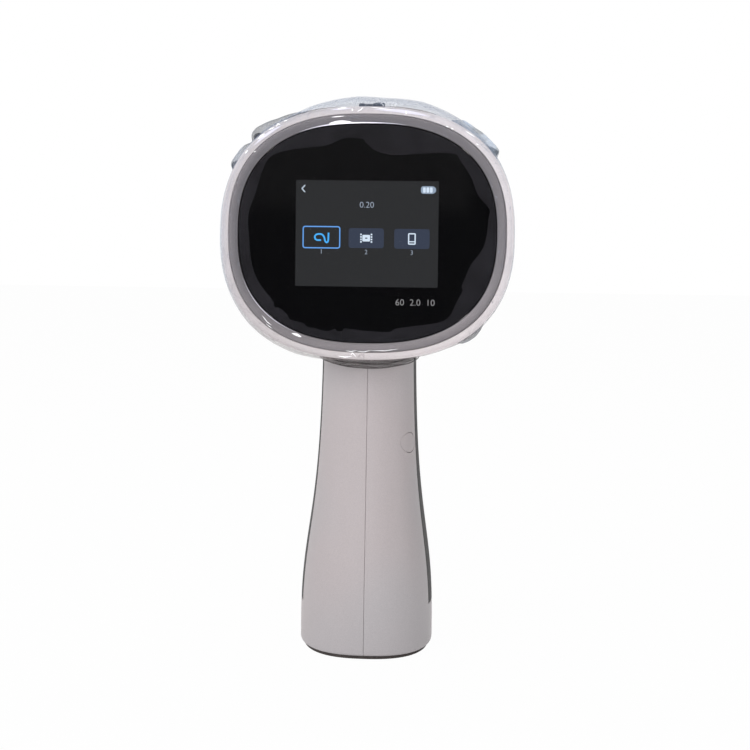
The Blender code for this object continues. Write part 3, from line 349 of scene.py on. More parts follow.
# Studio
camera_rise = 0.009
camera_place = (0.025, -0.654, beam_height + camera_rise)
camera_lens = 63.5
camera_sensor = 36.0
camera_shift = (0.0401, -0.1464)
camera_turn_degrees = (-2.24, -0.65, 3.34)
lamp_aim = Vector((0.0, 0.0, 0.15))
white_rays = ("Is Camera Ray", "Is Glossy Ray", "Is Transmission Ray")
# Name, place, size, power and colour
lamps = (
    ("key", (-1.35, -0.95, 0.95), 0.9, 10.5, (0.965, 0.98, 1.0)),
    ("front", (-0.35, -1.8, 0.7), 1.0, 8.0, (1.0, 0.955, 0.95)),
    ("top", (0.0, 0.25, 1.5), 0.9, 7.0, (1.0, 1.0, 1.0)),
    ("right", (1.3, -0.75, 0.45), 0.8, 3.2, (0.98, 0.98, 1.0)),
    ("low", (-0.04, -0.45, 0.05), 0.1, 0.1, (0.95, 0.94, 1.0)),
)
ambient_strength = 0.25
floor_glow_share = 0.98
floor_half_size = 3.0


# Materials

# Depths of the finishes' patterns
paint_relief = 0.00006
blasted_relief = 0.00004
pebble_relief = 0.00012
rubber_relief = 0.0001
moulded_relief = 0.00008
machined_relief = 0.00005
track_relief = 0.00004
film_relief = 0.0008
gathered_film_relief = 0.0006
dry_film_relief = 0.0003


class Value:
    """An output socket of a finish. Arithmetic on it adds Math nodes there."""

    def __init__(self, finish, socket):
        self.finish = finish
        self.socket = socket

    def math(self, operation, *others):
        return self.finish.add("ShaderNodeMath", {"operation": operation}, (self, *others))

    def __add__(self, other):
        return self.math("ADD", other)

    def __sub__(self, other):
        return self.math("SUBTRACT", other)

    def __rsub__(self, other):
        return self.math("MULTIPLY", -1.0).math("ADD", other)

    def __mul__(self, other):
        return self.math("MULTIPLY", other)

    __radd__ = __add__
    __rmul__ = __mul__


class Finish:
    """A Principled material whose pattern nodes are added one call at a time."""

    def __init__(self, name, colour, roughness, **sockets):
        self.material = bpy.data.materials.new(name)
        self.material.use_nodes = True
        self.material.diffuse_color = (*colour, 1.0)
        self.tree = self.material.node_tree
        self.shader = self.tree.nodes["Principled BSDF"]
        self.place = self.add("ShaderNodeTexCoord", {}, {}, "Object")
        self.feed("Base Color", (*colour, 1.0))
        self.feed("Roughness", roughness)
        for socket, value in sockets.items():
            self.feed(socket.replace("_", " "), value)

    def add(self, kind, settings, inputs, output=0):
        """Adds a node: its settings first, then the values or links of its sockets."""
        node = self.tree.nodes.new(kind)
        for setting, value in settings.items():
            setattr(node, setting, value)
        pairs = inputs.items() if isinstance(inputs, dict) else enumerate(inputs)
        for socket, value in pairs:
            self.connect(node.inputs[socket], value)
        return Value(self, node.outputs[output])

    def connect(self, socket, value):
        if isinstance(value, Value):
            self.tree.links.new(value.socket, socket)
        else:
            socket.default_value = value

    def feed(self, socket, value):
        """Gives a value or a link to a socket of the shader."""
        self.connect(self.shader.inputs[socket], value)

    def along(self, axis):
        """The place along X, Y or Z."""
        return self.add("ShaderNodeSeparateXYZ", {}, (self.place,), axis)

    def glancing(self):
        """0 where the surface is seen face-on, 1 where it is seen edge-on."""
        return self.add("ShaderNodeLayerWeight", {}, {"Blend": 0.5}, "Facing")

    def noise(self, scale, detail=2.0, distortion=0.0):
        """Cloudy noise around 0.5, with so many waves to the metre."""
        inputs = {"Vector": self.place, "Scale": scale, "Detail": detail, "Distortion": distortion}
        return self.add("ShaderNodeTexNoise", {}, inputs, "Fac")

    def cell_edges(self, scale):
        """Distance to the nearest edge between cells, of which so many go into a metre."""
        inputs = {"Vector": self.place, "Scale": scale}
        return self.add("ShaderNodeTexVoronoi", {"feature": "DISTANCE_TO_EDGE"}, inputs, "Distance")

    def ramp(self, value, low, high, start=0.0, end=1.0):
        """A value eased from start to end while it goes from low to high."""
        settings = {"interpolation_type": "SMOOTHSTEP", "clamp": True}
        inputs = {"Value": value, "From Min": low, "From Max": high, "To Min": start, "To Max": end}
        return self.add("ShaderNodeMapRange", settings, inputs, "Result")

    def mix(self, share, first, second):
        """A colour between two colours."""
        pair = [colour if isinstance(colour, Value) else (*colour, 1.0) for colour in (first, second)]
        return self.add("ShaderNodeMix", {"data_type": "RGBA"}, {0: share, 6: pair[0], 7: pair[1]}, 2)

    def bump(self, height, strength, distance):
        """Raises the surface by a height value, over a distance in metres."""
        inputs = {"Height": height, "Strength": strength, "Distance": distance}
        self.feed("Normal", self.add("ShaderNodeBump", {}, inputs, "Normal"))


def shaded(colour, share):
    """A colour made darker or lighter by a share."""
    return tuple(channel * share for channel in colour)


def painted_finish():
    """Warm light grey paint with a fine mineral grain and a slow drift from pinkish to cool."""
    warm = (0.56, 0.51, 0.515)
    cool = (0.52, 0.515, 0.53)
    finish = Finish("warm_grey_paint", warm, 0.42, Specular_IOR_Level=0.4)
    grain = finish.noise(2600.0, 3.0)
    drift = finish.noise(14.0, 1.0)
    body = finish.mix(finish.ramp(drift, 0.35, 0.65), warm, cool)
    dark_grain = finish.mix(finish.ramp(grain, 0.3, 0.72), shaded(warm, 0.86), shaded(warm, 1.1))
    finish.feed("Base Color", finish.mix(0.45, body, dark_grain))
    finish.feed("Roughness", 0.36 + grain * 0.14)
    finish.bump(grain, 0.25, paint_relief)
    return finish.material


def bezel_finish():
    """Satin grey anodised metal with a faint blasted grain."""
    colour = (0.15, 0.142, 0.15)
    finish = Finish("grey_anodised_ring", colour, 0.4, Metallic=1.0)
    grain = finish.noise(3200.0, 2.0)
    smudge = finish.noise(60.0, 2.0)
    finish.feed("Base Color", finish.mix(smudge, shaded(colour, 0.94), shaded(colour, 1.06)))
    finish.feed("Roughness", 0.3 + grain * 0.16 + smudge * 0.06)
    finish.bump(grain, 0.15, blasted_relief)
    return finish.material


def grip_finish():
    """Soft dark grey skin with a fine leather-like pebble."""
    colour = (0.085, 0.083, 0.083)
    finish = Finish("soft_dark_skin", colour, 0.7, Specular_IOR_Level=0.35)
    pebble = finish.cell_edges(950.0)
    dust = finish.noise(420.0, 2.0)
    valley = finish.ramp(pebble, 0.0, 0.22)
    finish.feed("Base Color", finish.mix(valley, shaded(colour, 0.72), shaded(colour, 1.12)))
    finish.feed("Roughness", 0.62 + dust * 0.2)
    finish.bump(valley, 0.5, pebble_relief)
    return finish.material


def rubber_finish():
    """Matt brown-grey foot rubber with a dusty, slightly pitted face."""
    colour = (0.055, 0.047, 0.044)
    finish = Finish("foot_rubber_brown", colour, 0.8, Specular_IOR_Level=0.3)
    dust = finish.noise(700.0, 4.0)
    finish.feed("Base Color", finish.mix(finish.ramp(dust, 0.4, 0.8), colour, shaded(colour, 1.7)))
    finish.feed("Roughness", 0.7 + dust * 0.2)
    finish.bump(dust, 0.3, rubber_relief)
    return finish.material


def dark_plastic_finish():
    """Black-grey moulded plastic with a spark-eroded grain, smoother where fingers rub."""
    colour = (0.03, 0.03, 0.033)
    finish = Finish("grained_dark_plastic", colour, 0.45)
    grain = finish.noise(1900.0, 3.0)
    rubbed = finish.noise(70.0, 1.0)
    finish.feed("Base Color", finish.mix(grain, shaded(colour, 0.8), shaded(colour, 1.3)))
    finish.feed("Roughness", 0.34 + grain * 0.18 + rubbed * 0.08)
    finish.bump(grain, 0.3, moulded_relief)
    return finish.material


def glass_finish():
    """Black printed cover glass that mirrors next to nothing, smooth but for the faintest smear."""
    finish = Finish("black_cover_glass", (0.0025, 0.0025, 0.003), 0.05, Specular_IOR_Level=0.02)
    smear = finish.noise(35.0, 3.0, 0.6)
    finish.feed("Roughness", 0.03 + smear * 0.05)
    return finish.material


def lit_finish(name, colour, strength=1.0):
    """A lit part of the screen, whose light varies a little from spot to spot."""
    finish = Finish(name, (0.002, 0.002, 0.002), 0.25, Specular_IOR_Level=0.0)
    flicker = finish.noise(5200.0, 1.0)
    light = finish.mix(flicker, shaded(colour, 0.9), shaded(colour, 1.1))
    finish.feed("Emission Color", light)
    finish.feed("Emission Strength", strength)
    return finish.material


def ink_finish():
    """Pale grey ink printed behind the glass."""
    colour = (0.36, 0.36, 0.37)
    finish = Finish("pale_glass_ink", colour, 0.5, Specular_IOR_Level=0.1)
    patch = finish.noise(3000.0, 2.0)
    finish.feed("Base Color", finish.mix(patch, shaded(colour, 0.85), shaded(colour, 1.12)))
    return finish.material


def clear_film_finish():
    """Clear crinkled packaging film: near nothing face-on, a veil at a glancing angle, bluish above and
    pinkish below as a painted reflection, with thin pale creases and small white glints beyond the bezel,
    both painted highlights."""
    blue_grey = (0.32, 0.42, 0.62)
    finish = Finish("clear_crinkled_film", blue_grey, 0.1)
    crease = finish.noise(70.0, 1.0, 1.6)
    speck = finish.noise(420.0, 2.0, 0.5)
    patch = finish.ramp(finish.noise(38.0, 1.0), 0.46, 0.62)
    line = finish.ramp((crease - 0.5).math("ABSOLUTE"), 0.0, 0.012, 1.0, 0.0)
    glancing = finish.glancing()
    off_bezel = finish.ramp(finish.along("Y"), head_rear - head_rim_round, head_rear)
    # Painted highlights: white glints in specks, and pale crease lines beyond the bezel
    glint = finish.ramp(speck, 0.66, 0.72) * patch * off_bezel
    crease_highlight = line * off_bezel
    veil = 0.012 + glancing * 0.27 + line * glancing * 0.3 + crease_highlight * 0.14 + glint * 0.8
    # Painted reflection: the film's tint goes from pinkish below to bluish above
    upper = finish.ramp(finish.along("Z"), beam_height - head_half_height, beam_height)
    sheen = finish.mix(upper, (0.37, 0.31, 0.31), blue_grey)
    finish.feed("Base Color", finish.mix(glint.math("MAXIMUM", crease_highlight * 0.6), sheen, (1.0, 1.0, 1.0)))
    finish.feed("Alpha", veil.math("MINIMUM", 0.92))
    finish.bump(crease, 0.5, film_relief)
    return finish.material


def hazy_film_finish(name, tint, density, glow, left_glow_share=1.0, right_glow_share=1.0):
    """Film drawn tight and hazy, with a painted glow: its emission stands in for light and is stronger
    towards one side.
    """
    finish = Finish(name, tint, 0.3)
    cloud = finish.noise(90.0, 2.0, 0.6)
    finish.feed("Base Color", finish.mix(cloud, shaded(tint, 0.95), tint))
    finish.feed("Alpha", density + (cloud - 0.5) * density * 0.4)
    # Painted glow, brighter towards one side
    side = finish.ramp(finish.along("X"), -bezel_half_width, bezel_half_width)
    finish.feed("Emission Color", finish.mix(side, shaded(tint, left_glow_share), shaded(tint, right_glow_share)))
    finish.feed("Emission Strength", glow)
    return finish.material


def folded_film_finish(name, grey):
    """Film folded double: a grey veil with soft pleats that thickens towards its outline."""
    finish = Finish(name, grey, 0.12)
    pleat = finish.noise(75.0, 1.0, 1.4)
    glancing = finish.glancing()
    finish.feed("Base Color", finish.mix(finish.ramp(pleat, 0.4, 0.6), grey, shaded(grey, 3.6)))
    finish.feed("Alpha", (0.32 + pleat * 0.25 + glancing * 0.4).math("MINIMUM", 0.9))
    finish.bump(pleat, 0.5, film_relief)
    return finish.material


def tucked_film_finish():
    """Film tucked in many layers: nearly opaque and dark, as painted shade."""
    dark = (0.02, 0.023, 0.027)
    finish = Finish("painted_shade_tucked_film", dark, 0.25, Specular_IOR_Level=0.2)
    pleat = finish.noise(160.0, 1.0, 0.8)
    finish.feed("Base Color", finish.mix(pleat, dark, (0.09, 0.1, 0.12)))
    finish.feed("Alpha", 0.72 + pleat * 0.2)
    return finish.material


def creased_film_finish():
    """A sharp crease in the film, white and with a little emission: a painted highlight."""
    white = (1.0, 1.0, 1.0)
    finish = Finish("painted_crease_highlight", white, 0.3)
    finish.feed("Base Color", finish.mix(finish.noise(500.0, 1.0), (0.9, 0.92, 0.95), white))
    finish.feed("Alpha", 0.65 + finish.noise(700.0, 1.0) * 0.4)
    finish.feed("Emission Color", (*white, 1.0))
    finish.feed("Emission Strength", 0.25)
    return finish.material


def gathered_film_finish():
    """The film where it is gathered into a hem: a grey-brown haze, partly the film's own and partly painted
    shade under the head, with darker strands round the neck.
    """
    # Grey-brown haze, partly painted shade under the head
    haze = (0.26, 0.245, 0.24)
    finish = Finish("gathered_film_and_painted_shade", haze, 0.15)
    sway = finish.noise(38.0, 1.0, 0.4)
    strand = ((finish.along("Z") * 620.0 + sway * 4.0).math("FRACT") - 0.5).math("ABSOLUTE")
    line = finish.ramp(strand, 0.0, 0.16, 1.0, 0.0)
    finish.feed("Base Color", finish.mix(line, haze, (0.05, 0.045, 0.045)))
    finish.feed("Alpha", 0.2 + sway * 0.16 + line * 0.35)
    finish.bump(strand, 0.5, gathered_film_relief)
    return finish.material


def dry_film_finish():
    """Film that stands off the glass: a thin grey haze, brighter in patches, with soft folds."""
    colour = (0.033, 0.032, 0.038)
    finish = Finish("lifted_display_film", colour, 0.3, Specular_IOR_Level=0.06)
    drift = finish.noise(55.0, 2.0, 0.8)
    finish.feed("Base Color", finish.mix(drift, shaded(colour, 0.55), shaded(colour, 1.5)))
    finish.feed("Alpha", 0.3 + drift * 0.16)
    finish.bump(finish.noise(160.0, 2.0, 1.0), 0.3, dry_film_relief)
    return finish.material


def wet_film_finish():
    """Film that clings to the glass, all but unseen."""
    finish = Finish("clinging_display_film", (0.01, 0.01, 0.012), 0.1, Specular_IOR_Level=0.0)
    finish.feed("Alpha", 0.02 + finish.noise(40.0, 2.0) * 0.02)
    return finish.material


def metal_finish(name, colour, roughness, grain_scale=900.0):
    """Plain metal with a fine machined or cast grain and a little tarnish."""
    finish = Finish(name, colour, roughness, Metallic=1.0)
    grain = finish.noise(grain_scale, 3.0)
    tarnish = finish.noise(90.0, 2.0)
    finish.feed("Base Color", finish.mix(tarnish, shaded(colour, 0.82), shaded(colour, 1.05)))
    finish.feed("Roughness", roughness + grain * 0.14 - 0.07)
    finish.bump(grain, 0.2, machined_relief)
    return finish.material


def plain_finish(name, colour, roughness, grain_scale=900.0):
    """Moulded, pressed or wrapped material with a fine grain in its colour and its face."""
    finish = Finish(name, colour, roughness)
    grain = finish.noise(grain_scale, 3.0)
    finish.feed("Base Color", finish.mix(grain, shaded(colour, 0.88), shaded(colour, 1.1)))
    finish.feed("Roughness", roughness + grain * 0.12 - 0.06)
    finish.bump(grain, 0.2, machined_relief)
    return finish.material


def board_finish():
    """Green solder mask with paler tracks that follow cell edges."""
    green = (0.015, 0.1, 0.04)
    finish = Finish("green_circuit_board", green, 0.4)
    track = finish.ramp(finish.cell_edges(320.0), 0.03, 0.06, 1.0, 0.0)
    finish.feed("Base Color", finish.mix(track, green, (0.05, 0.22, 0.09)))
    finish.bump(track, 0.3, track_relief)
    return finish.material


def clear_glass_finish():
    """Clear tube glass, a little clouded."""
    finish = Finish("clear_tube_glass", (0.9, 0.93, 0.92), 0.05)
    finish.feed("Alpha", 0.3 + finish.noise(80.0, 1.0) * 0.1)
    return finish.material


# Meshes

def points_at(*places):
    """Points from one array or number for each coordinate, spread to a common shape."""
    return np.stack(np.broadcast_arrays(*places), axis=-1)


def linked(name, data):
    """A new object in the scene that holds a mesh, lamp, camera or text."""
    holder = bpy.data.objects.new(name, data)
    bpy.context.scene.collection.objects.link(holder)
    return holder


def closed_mesh(name, shape):
    """A mesh from a shape's points and faces, turned so that the faces of a closed one look outwards.

    The volume is the sum of p0 . (p1 x p2) / 6 over the triangles, which is negative when they look in.
    """
    mesh = bpy.data.meshes.new(name)
    points = np.asarray(shape[0], dtype=float).reshape(-1, 3)
    mesh.from_pydata(points.tolist(), [], shape[1])
    mesh.calc_loop_triangles()
    corner = np.empty(len(mesh.loop_triangles) * 3, dtype=np.int32)
    mesh.loop_triangles.foreach_get("vertices", corner)
    first, second, third = points[corner.reshape(-1, 3)].transpose(1, 0, 2)
    if np.sum(first * np.cross(second, third)) < 0.0:
        mesh.flip_normals()
    return mesh


def dressed(name, mesh, material, body="unit"):
    """A visible piece with its material, which rides on a body."""
    mesh.materials.append(material)
    piece = linked(name, mesh)
    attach(piece, body)
    return piece


def add_piece(name, shape, slot, replaced=None, material=None, body="unit"):
    """Makes a piece from points and faces, smooth but for its sharp edges. Its material is its slot's,
    unless it has one of its own."""
    mesh = closed_mesh(name, shape)
    mesh.shade_smooth()
    mesh.set_sharp_from_angle(angle=smooth_angle)
    piece = dressed(name, mesh, material or finishes[slot], body)
    if replaced:
        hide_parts(replaced)
    return piece


def add_halves(part, shape):
    """Both halves of a shell, from the shape of the right one. The left one is its mirror image."""
    points, faces = shape
    mirrored = (points * (-1.0, 1.0, 1.0), [face[::-1] for face in faces])
    return [add_piece(f"{side}_{part}_shell", half, "painted_shell", f"{side}_housing")
            for side, half in (("left", mirrored), ("right", shape))]


def walled(outer, inner, keep=None, looped=False):
    """Corners and quads of a wall between two grids, with a side face along each edge of what is kept.

    Each cell of the grid that is kept gives an outer quad and an inner one. Where its neighbour is
    missing, a quad joins the two walls. A looped grid's last column meets its first.
    """
    outer = np.asarray(outer, dtype=float)
    rows, columns = outer.shape[:2]
    number = np.arange(rows * columns).reshape(rows, columns)
    if looped:
        number = np.concatenate((number, number[:, :1]), axis=1)
    if keep is None:
        keep = np.ones((number.shape[0] - 1, number.shape[1] - 1), dtype=bool)
    cells = np.stack((number[:-1, :-1], number[:-1, 1:], number[1:, 1:], number[1:, :-1]), axis=-1)
    ring = np.pad(keep, 1)
    if looped:
        ring[:, 0] = ring[:, -2]
        ring[:, -1] = ring[:, 1]
    neighbours = (ring[:-2, 1:-1], ring[1:-1, 2:], ring[2:, 1:-1], ring[1:-1, :-2])
    deep = rows * columns
    quads = [cells[keep], cells[keep][:, ::-1] + deep]
    for side, kept_beyond in enumerate(neighbours):
        edge = cells[keep & ~kept_beyond]
        start = edge[:, side]
        end = edge[:, (side + 1) % 4]
        quads.append(np.stack((end, start, start + deep, end + deep), axis=1))
    points = np.concatenate((outer.reshape(-1, 3), np.asarray(inner, dtype=float).reshape(-1, 3)))
    return points, np.concatenate(quads).tolist()


def tube(rings, looped=False):
    """A stack of rings and the quads through them, capped at its ends, or looped to the first ring."""
    rings = np.asarray(rings)
    corner = np.arange(rings.shape[0] * rings.shape[1]).reshape(rings.shape[:2])
    after = np.roll(corner, -1, axis=0) if looped else corner[1:]
    before = corner if looped else corner[:-1]
    quads = np.stack((before, np.roll(before, -1, axis=1), np.roll(after, -1, axis=1), after), axis=-1)
    faces = quads.reshape(-1, 4).tolist()
    if not looped:
        faces.append(corner[0][::-1].tolist())
        faces.append(corner[-1].tolist())
    return rings, faces


def turned_points(profile, axis, place, sides):
    """Rings of a turned profile, whose pairs are radius and distance along an axis through a place."""
    angle = np.linspace(0.0, full_turn, sides, endpoint=False)
    radius, along = np.asarray(profile, dtype=float).T
    first = radius[:, None] * np.cos(angle)
    second = radius[:, None] * np.sin(angle)
    level = along[:, None]
    order = {"X": (level, first, second), "Y": (second, level, first), "Z": (first, second, level)}
    return points_at(*order[axis]) + np.asarray(place)


def cut(piece, rings):
    """Takes the closed shape through a stack of rings out of a piece for good."""
    tool = linked("tool", closed_mesh("tool", tube(rings)))
    step = piece.modifiers.new("cut", "BOOLEAN")
    step.operation = "DIFFERENCE"
    step.solver = "MANIFOLD"
    step.object = tool
    graph = bpy.context.evaluated_depsgraph_get()
    finished = bpy.data.meshes.new_from_object(piece.evaluated_get(graph))
    piece.modifiers.remove(step)
    piece.data = finished
    finished.set_sharp_from_angle(angle=smooth_angle)
    bpy.data.objects.remove(tool)


def bore(piece, radius, start, end, axis, place, sides):
    """Bores a round hole in a piece, from start to end along an axis through a place."""
    cut(piece, turned_points(((radius, start), (radius, end)), axis, place, sides))


# Curves

def superellipse(angle, half_width, half_height, exponent):
    """x = a * |cos t| ** (2 / n) and y = b * |sin t| ** (2 / n), with the signs of cosine and sine."""
    cosine = np.cos(angle)
    sine = np.sin(angle)
    across = half_width * np.sign(cosine) * np.abs(cosine) ** (2.0 / exponent)
    up = half_height * np.sign(sine) * np.abs(sine) ** (2.0 / exponent)
    return across, up


def angle_at(across, half_width, exponent):
    """The angle t at which a superellipse has a given x: cos t = (x / a) ** (n / 2)."""
    share = np.clip(across / half_width, 0.0, 1.0)
    return np.arccos(share ** (exponent / 2.0))


def quarter(count):
    """Sine and 1 - cosine over a quarter circle, as shares of a rounding's radius."""
    turn = np.linspace(0.0, quarter_turn, count)
    return np.sin(turn), 1.0 - np.cos(turn)


def rolled(distance, radius):
    """How far a surface sinks at a distance from its edge, where a quarter circle rounds the edge."""
    reach = np.clip(radius - distance, 0.0, radius)
    return radius - np.sqrt(radius ** 2 - reach ** 2)


def seam_angles(half_width, exponent):
    """Angles of the columns over the seam's rounding, and of the first column beyond it."""
    fall = quarter(5)[1]
    seam = angle_at(seam_round * fall[None, :], half_width, exponent)
    return seam, angle_at(seam_reach_share * seam_round, half_width, exponent)


def seamed(across, other, half_width):
    """Rounds a right half over into the middle seam and stands it off the middle plane."""
    sink = rolled(across, seam_round)
    other = np.sign(other) * (np.abs(other) - sink)
    return seam_gap / 2.0 + across * (1.0 - seam_gap / 2.0 / half_width), other


def fan(start, end, count):
    """Equal steps from one column of angles to another, without the last."""
    share = np.linspace(0.0, 1.0, count, endpoint=False)
    return start + (end - start) * share


def eased(share):
    """3 s^2 - 2 s^3 of a share held between 0 and 1."""
    share = np.clip(share, 0.0, 1.0)
    return share * share * (3.0 - 2.0 * share)


def round_trip(count):
    """Angles in equal steps once round a closed outline."""
    return np.linspace(0.0, full_turn, count, endpoint=False)


def smooth_loop(points, steps):
    """A closed curve through points: each span is the cubic whose slope at a point is half the step
    between its neighbours."""
    before = np.roll(points, 1, axis=0)[:, None]
    start = points[:, None]
    end = np.roll(points, -1, axis=0)[:, None]
    after = np.roll(points, -2, axis=0)[:, None]
    t = np.linspace(0.0, 1.0, steps, endpoint=False)[None, :, None]
    square = (2.0 * before - 5.0 * start + 4.0 * end - after) * t ** 2
    cube = (3.0 * start - before - 3.0 * end + after) * t ** 3
    curve = 0.5 * (2.0 * start + (end - before) * t + square + cube)
    return curve.reshape(-1, points.shape[1])


def line_points(stops, count):
    """Points in equal steps on the straight lines from stop to stop."""
    at = np.linspace(0.0, len(stops) - 1.0, count)
    return np.stack([np.interp(at, np.arange(len(stops)), stops[:, axis]) for axis in (0, 1)], axis=1)


def beside(along):
    """Unit vectors to the left of steps along a path."""
    along = along / np.linalg.norm(along, axis=1, keepdims=True)
    return np.stack((-along[:, 1], along[:, 0]), axis=1)


def drawn_in(loop, distance):
    """A closed counterclockwise outline moved inwards, at right angles to it."""
    along = np.roll(loop, -1, axis=0) - np.roll(loop, 1, axis=0)
    return loop + beside(along) * distance


def ribbon(path, width):
    """Both edges of a band of a width, or of a width for each point, along the middle line of a path."""
    half = beside(np.gradient(path, axis=0)) * width / 2.0
    return np.stack((path - half, path + half))


def standing(flat, depth):
    """Sets flat points, across and up from the middle of the screen, at a depth."""
    return points_at(flat[..., 0], depth, beam_height + flat[..., 1])


def flat_sheet(rows, front, back, looped=False):
    """A sheet over rows of flat points, from the depth of its front to that of its back."""
    return walled(standing(rows, front), standing(rows, back), looped=looped)


# Head and handle forms

def head_fullness(depth):
    """0.5 + 0.5 cos(pi s ** power), where s runs from 0 at the screen to 1 at the nose."""
    share = np.clip((depth - head_rear) / (head_front - head_rear), 0.0, 1.0)
    return 0.5 * (1.0 + np.cos(math.pi * share ** head_taper_power))


def head_sizes(depth):
    """Half width, half height and exponent of the head's section at a depth."""
    fullness = head_fullness(depth)
    half_width = nose_radius + (head_half_width - nose_radius) * fullness
    half_height = nose_radius + (head_half_height - nose_radius) * fullness
    return half_width, half_height, 2.0 + (head_exponent - 2.0) * fullness


def head_points(depth, inset, angle):
    """The head's section at a depth, drawn in by an inset: across and up from the beam."""
    half_width, half_height, exponent = head_sizes(depth)
    return superellipse(angle, half_width - inset, half_height - inset, exponent)


def head_floor(across, depth):
    """The height of the head's underside: beam height - b (1 - |x / a| ** n) ** (1 / n)."""
    half_width, half_height, exponent = head_sizes(depth)
    share = np.clip(np.abs(across) / half_width, 0.0, 1.0)
    return beam_height - half_height * (1.0 - share ** exponent) ** (1.0 / exponent)


def handle_sizes(height):
    """Half width and half depth of the handle: neck + (base - neck) / (1 + (s / share) ** power), and
    above the neck a flare that grows with the square of the height."""
    share = np.clip((height - housing_bottom) / (handle_neck_height - housing_bottom), 0.0, None)
    swell = 1.0 / (1.0 + (share / handle_swell_share) ** handle_swell_power)
    half_width = handle_neck_half_width + (handle_base_half_width - handle_neck_half_width) * swell
    half_depth = handle_neck_half_depth + (handle_base_half_depth - handle_neck_half_depth) * swell
    flare = handle_flare * np.clip((height - handle_neck_height) / handle_flare_rise, 0.0, 1.0) ** 2
    return half_width + flare, half_depth + flare


def handle_section(height, inset, angle):
    """The handle's section at a height, drawn in by an inset: across and depth, its front at 90 degrees."""
    half_width, half_depth = handle_sizes(height)
    return superellipse(angle, half_width - inset, half_depth - inset, handle_exponent)


def handle_points(height, inset, angle):
    """Points of the handle's section, each at the height that its size is taken at."""
    return points_at(*handle_section(height, inset, angle), height)


# Shell

def head_profile():
    """Depth and inset of the head shell's outer and inner wall, from the screen's seat to the nose."""
    sine, fall = quarter(5)
    rim_sine, rim_fall = quarter(9)
    nose_sine, nose_fall = quarter(6)
    edge_inset = bezel_inset - bezel_gap
    bore_inset = nose_radius - cone_radius - clearance
    seat_depth = head_rear + return_depth
    side = np.linspace(head_rear + head_rim_round, head_front - nose_edge_round, 74)[1:-1]
    outer = np.concatenate((
        [(seat_depth, edge_inset)],
        points_at(head_rear + small_round * (1.0 - sine), edge_inset - small_round * fall),
        points_at(head_rear + head_rim_round * rim_fall, head_rim_round * (1.0 - rim_sine)),
        points_at(side, 0.0),
        points_at(head_front - nose_edge_round * (1.0 - nose_sine), nose_edge_round * nose_fall),
        [(head_front, bore_inset)],
    ))
    inner_inset = edge_inset + bezel_gap / 2.0
    across_nose = np.linspace(inner_inset, bore_inset, 6)[1:]
    along = np.linspace(seat_depth, head_front - nose_wall, len(outer) - len(across_nose))
    inner = np.concatenate((points_at(along, inner_inset), points_at(head_front - nose_wall, across_nose)))
    return outer, inner


def head_half(profile):
    """The right half of the head's surface over a profile of depth and inset."""
    depth, inset = profile[:, :1], profile[:, 1:]
    half_width, half_height, exponent = head_sizes(depth)
    half_width = half_width - inset
    seam, first = seam_angles(half_width, exponent)
    angle = np.concatenate((seam, fan(first, -first, 120), -first, -seam[:, ::-1]), axis=1)
    across, up = superellipse(angle, half_width, half_height - inset, exponent)
    across, up = seamed(across, up, half_width)
    return points_at(across, depth, beam_height + up)


def make_head_shell():
    """The bell of the head in two halves, with a rounded rim and nose and the key's hole in its roof."""
    outer, inner = head_profile()
    place = (0.0, button_depth, housing_high[2])
    for shell in add_halves("head", walled(head_half(outer)[:, ::-1], head_half(inner)[:, ::-1])):
        bore(shell, button_hole_radius, -head_wall * 2.0, head_wall, "Z", place, 64)


def handle_rows():
    """Heights, insets and bed marks of the handle's rows, from its underside up to the fillet."""
    sine, fall = quarter(7)
    foot_height = housing_bottom + handle_foot_round * fall
    foot_inset = handle_foot_round * (1.0 - sine)
    step = small_round / 4.0
    bed_low = grip_low[2] - clearance
    bed_high = grip_high[2] + clearance
    heights = np.concatenate((
        foot_height,
        np.linspace(foot_height[-1], bed_low, 10)[1:],
        [bed_low + step],
        np.linspace(bed_low + step, window_low, 40)[1:],
        np.linspace(window_low, window_high, 14)[1:],
        [bed_high - step, bed_high],
    ))
    insets = np.zeros_like(heights)
    insets[:len(foot_inset)] = foot_inset
    bed = (heights > bed_low + step / 2.0) & (heights < bed_high - step / 2.0)
    return heights, insets, bed


def handle_angles(height):
    """Column angles of the right half of the handle, from its front seam to its back one.

    Columns stand at the seam's rounding, at the trigger's window and on both sides of the grip's edge.
    """
    half_width = handle_sizes(height)[0]
    seam, first = seam_angles(half_width, handle_exponent)
    window = angle_at(window_half_width, half_width, handle_exponent)
    edge = np.full_like(first, grip_edge_angle - clearance / handle_neck_half_width)
    bed_edge = edge + bed_step_angle
    front = np.concatenate((seam, fan(first, window, 10), fan(window, bed_edge, 46), bed_edge), axis=1)
    back = np.concatenate((fan(edge, -first, 54), -first, -seam[:, ::-1]), axis=1)
    window_column = seam.shape[1] + 10
    return np.concatenate((front, back), axis=1), front.shape[1], window_column


def fillet_rows(angle):
    """The fillet between handle and head, column by column: a curve from the handle's wall, bent towards
    the corner where the wall meets the head's underside, and on to a point out on that underside."""
    corner_height = np.full_like(angle, handle_neck_height)
    for _ in range(8):
        across, depth = handle_section(corner_height, 0.0, angle)
        corner_height = head_floor(across, depth)
    corner = points_at(across, depth, corner_height)
    start_height = corner_height - fillet_radius
    start = handle_points(start_height, 0.0, angle)
    across, depth = handle_section(corner_height, -fillet_radius, angle)
    end = points_at(across, depth, head_floor(across, depth) + clearance / 3.0)
    share = np.linspace(0.0, 1.0, 10)[1:, None, None]
    curve = start * (1.0 - share) ** 2 + corner * 2.0 * share * (1.0 - share) + end * share ** 2
    return start_height, curve


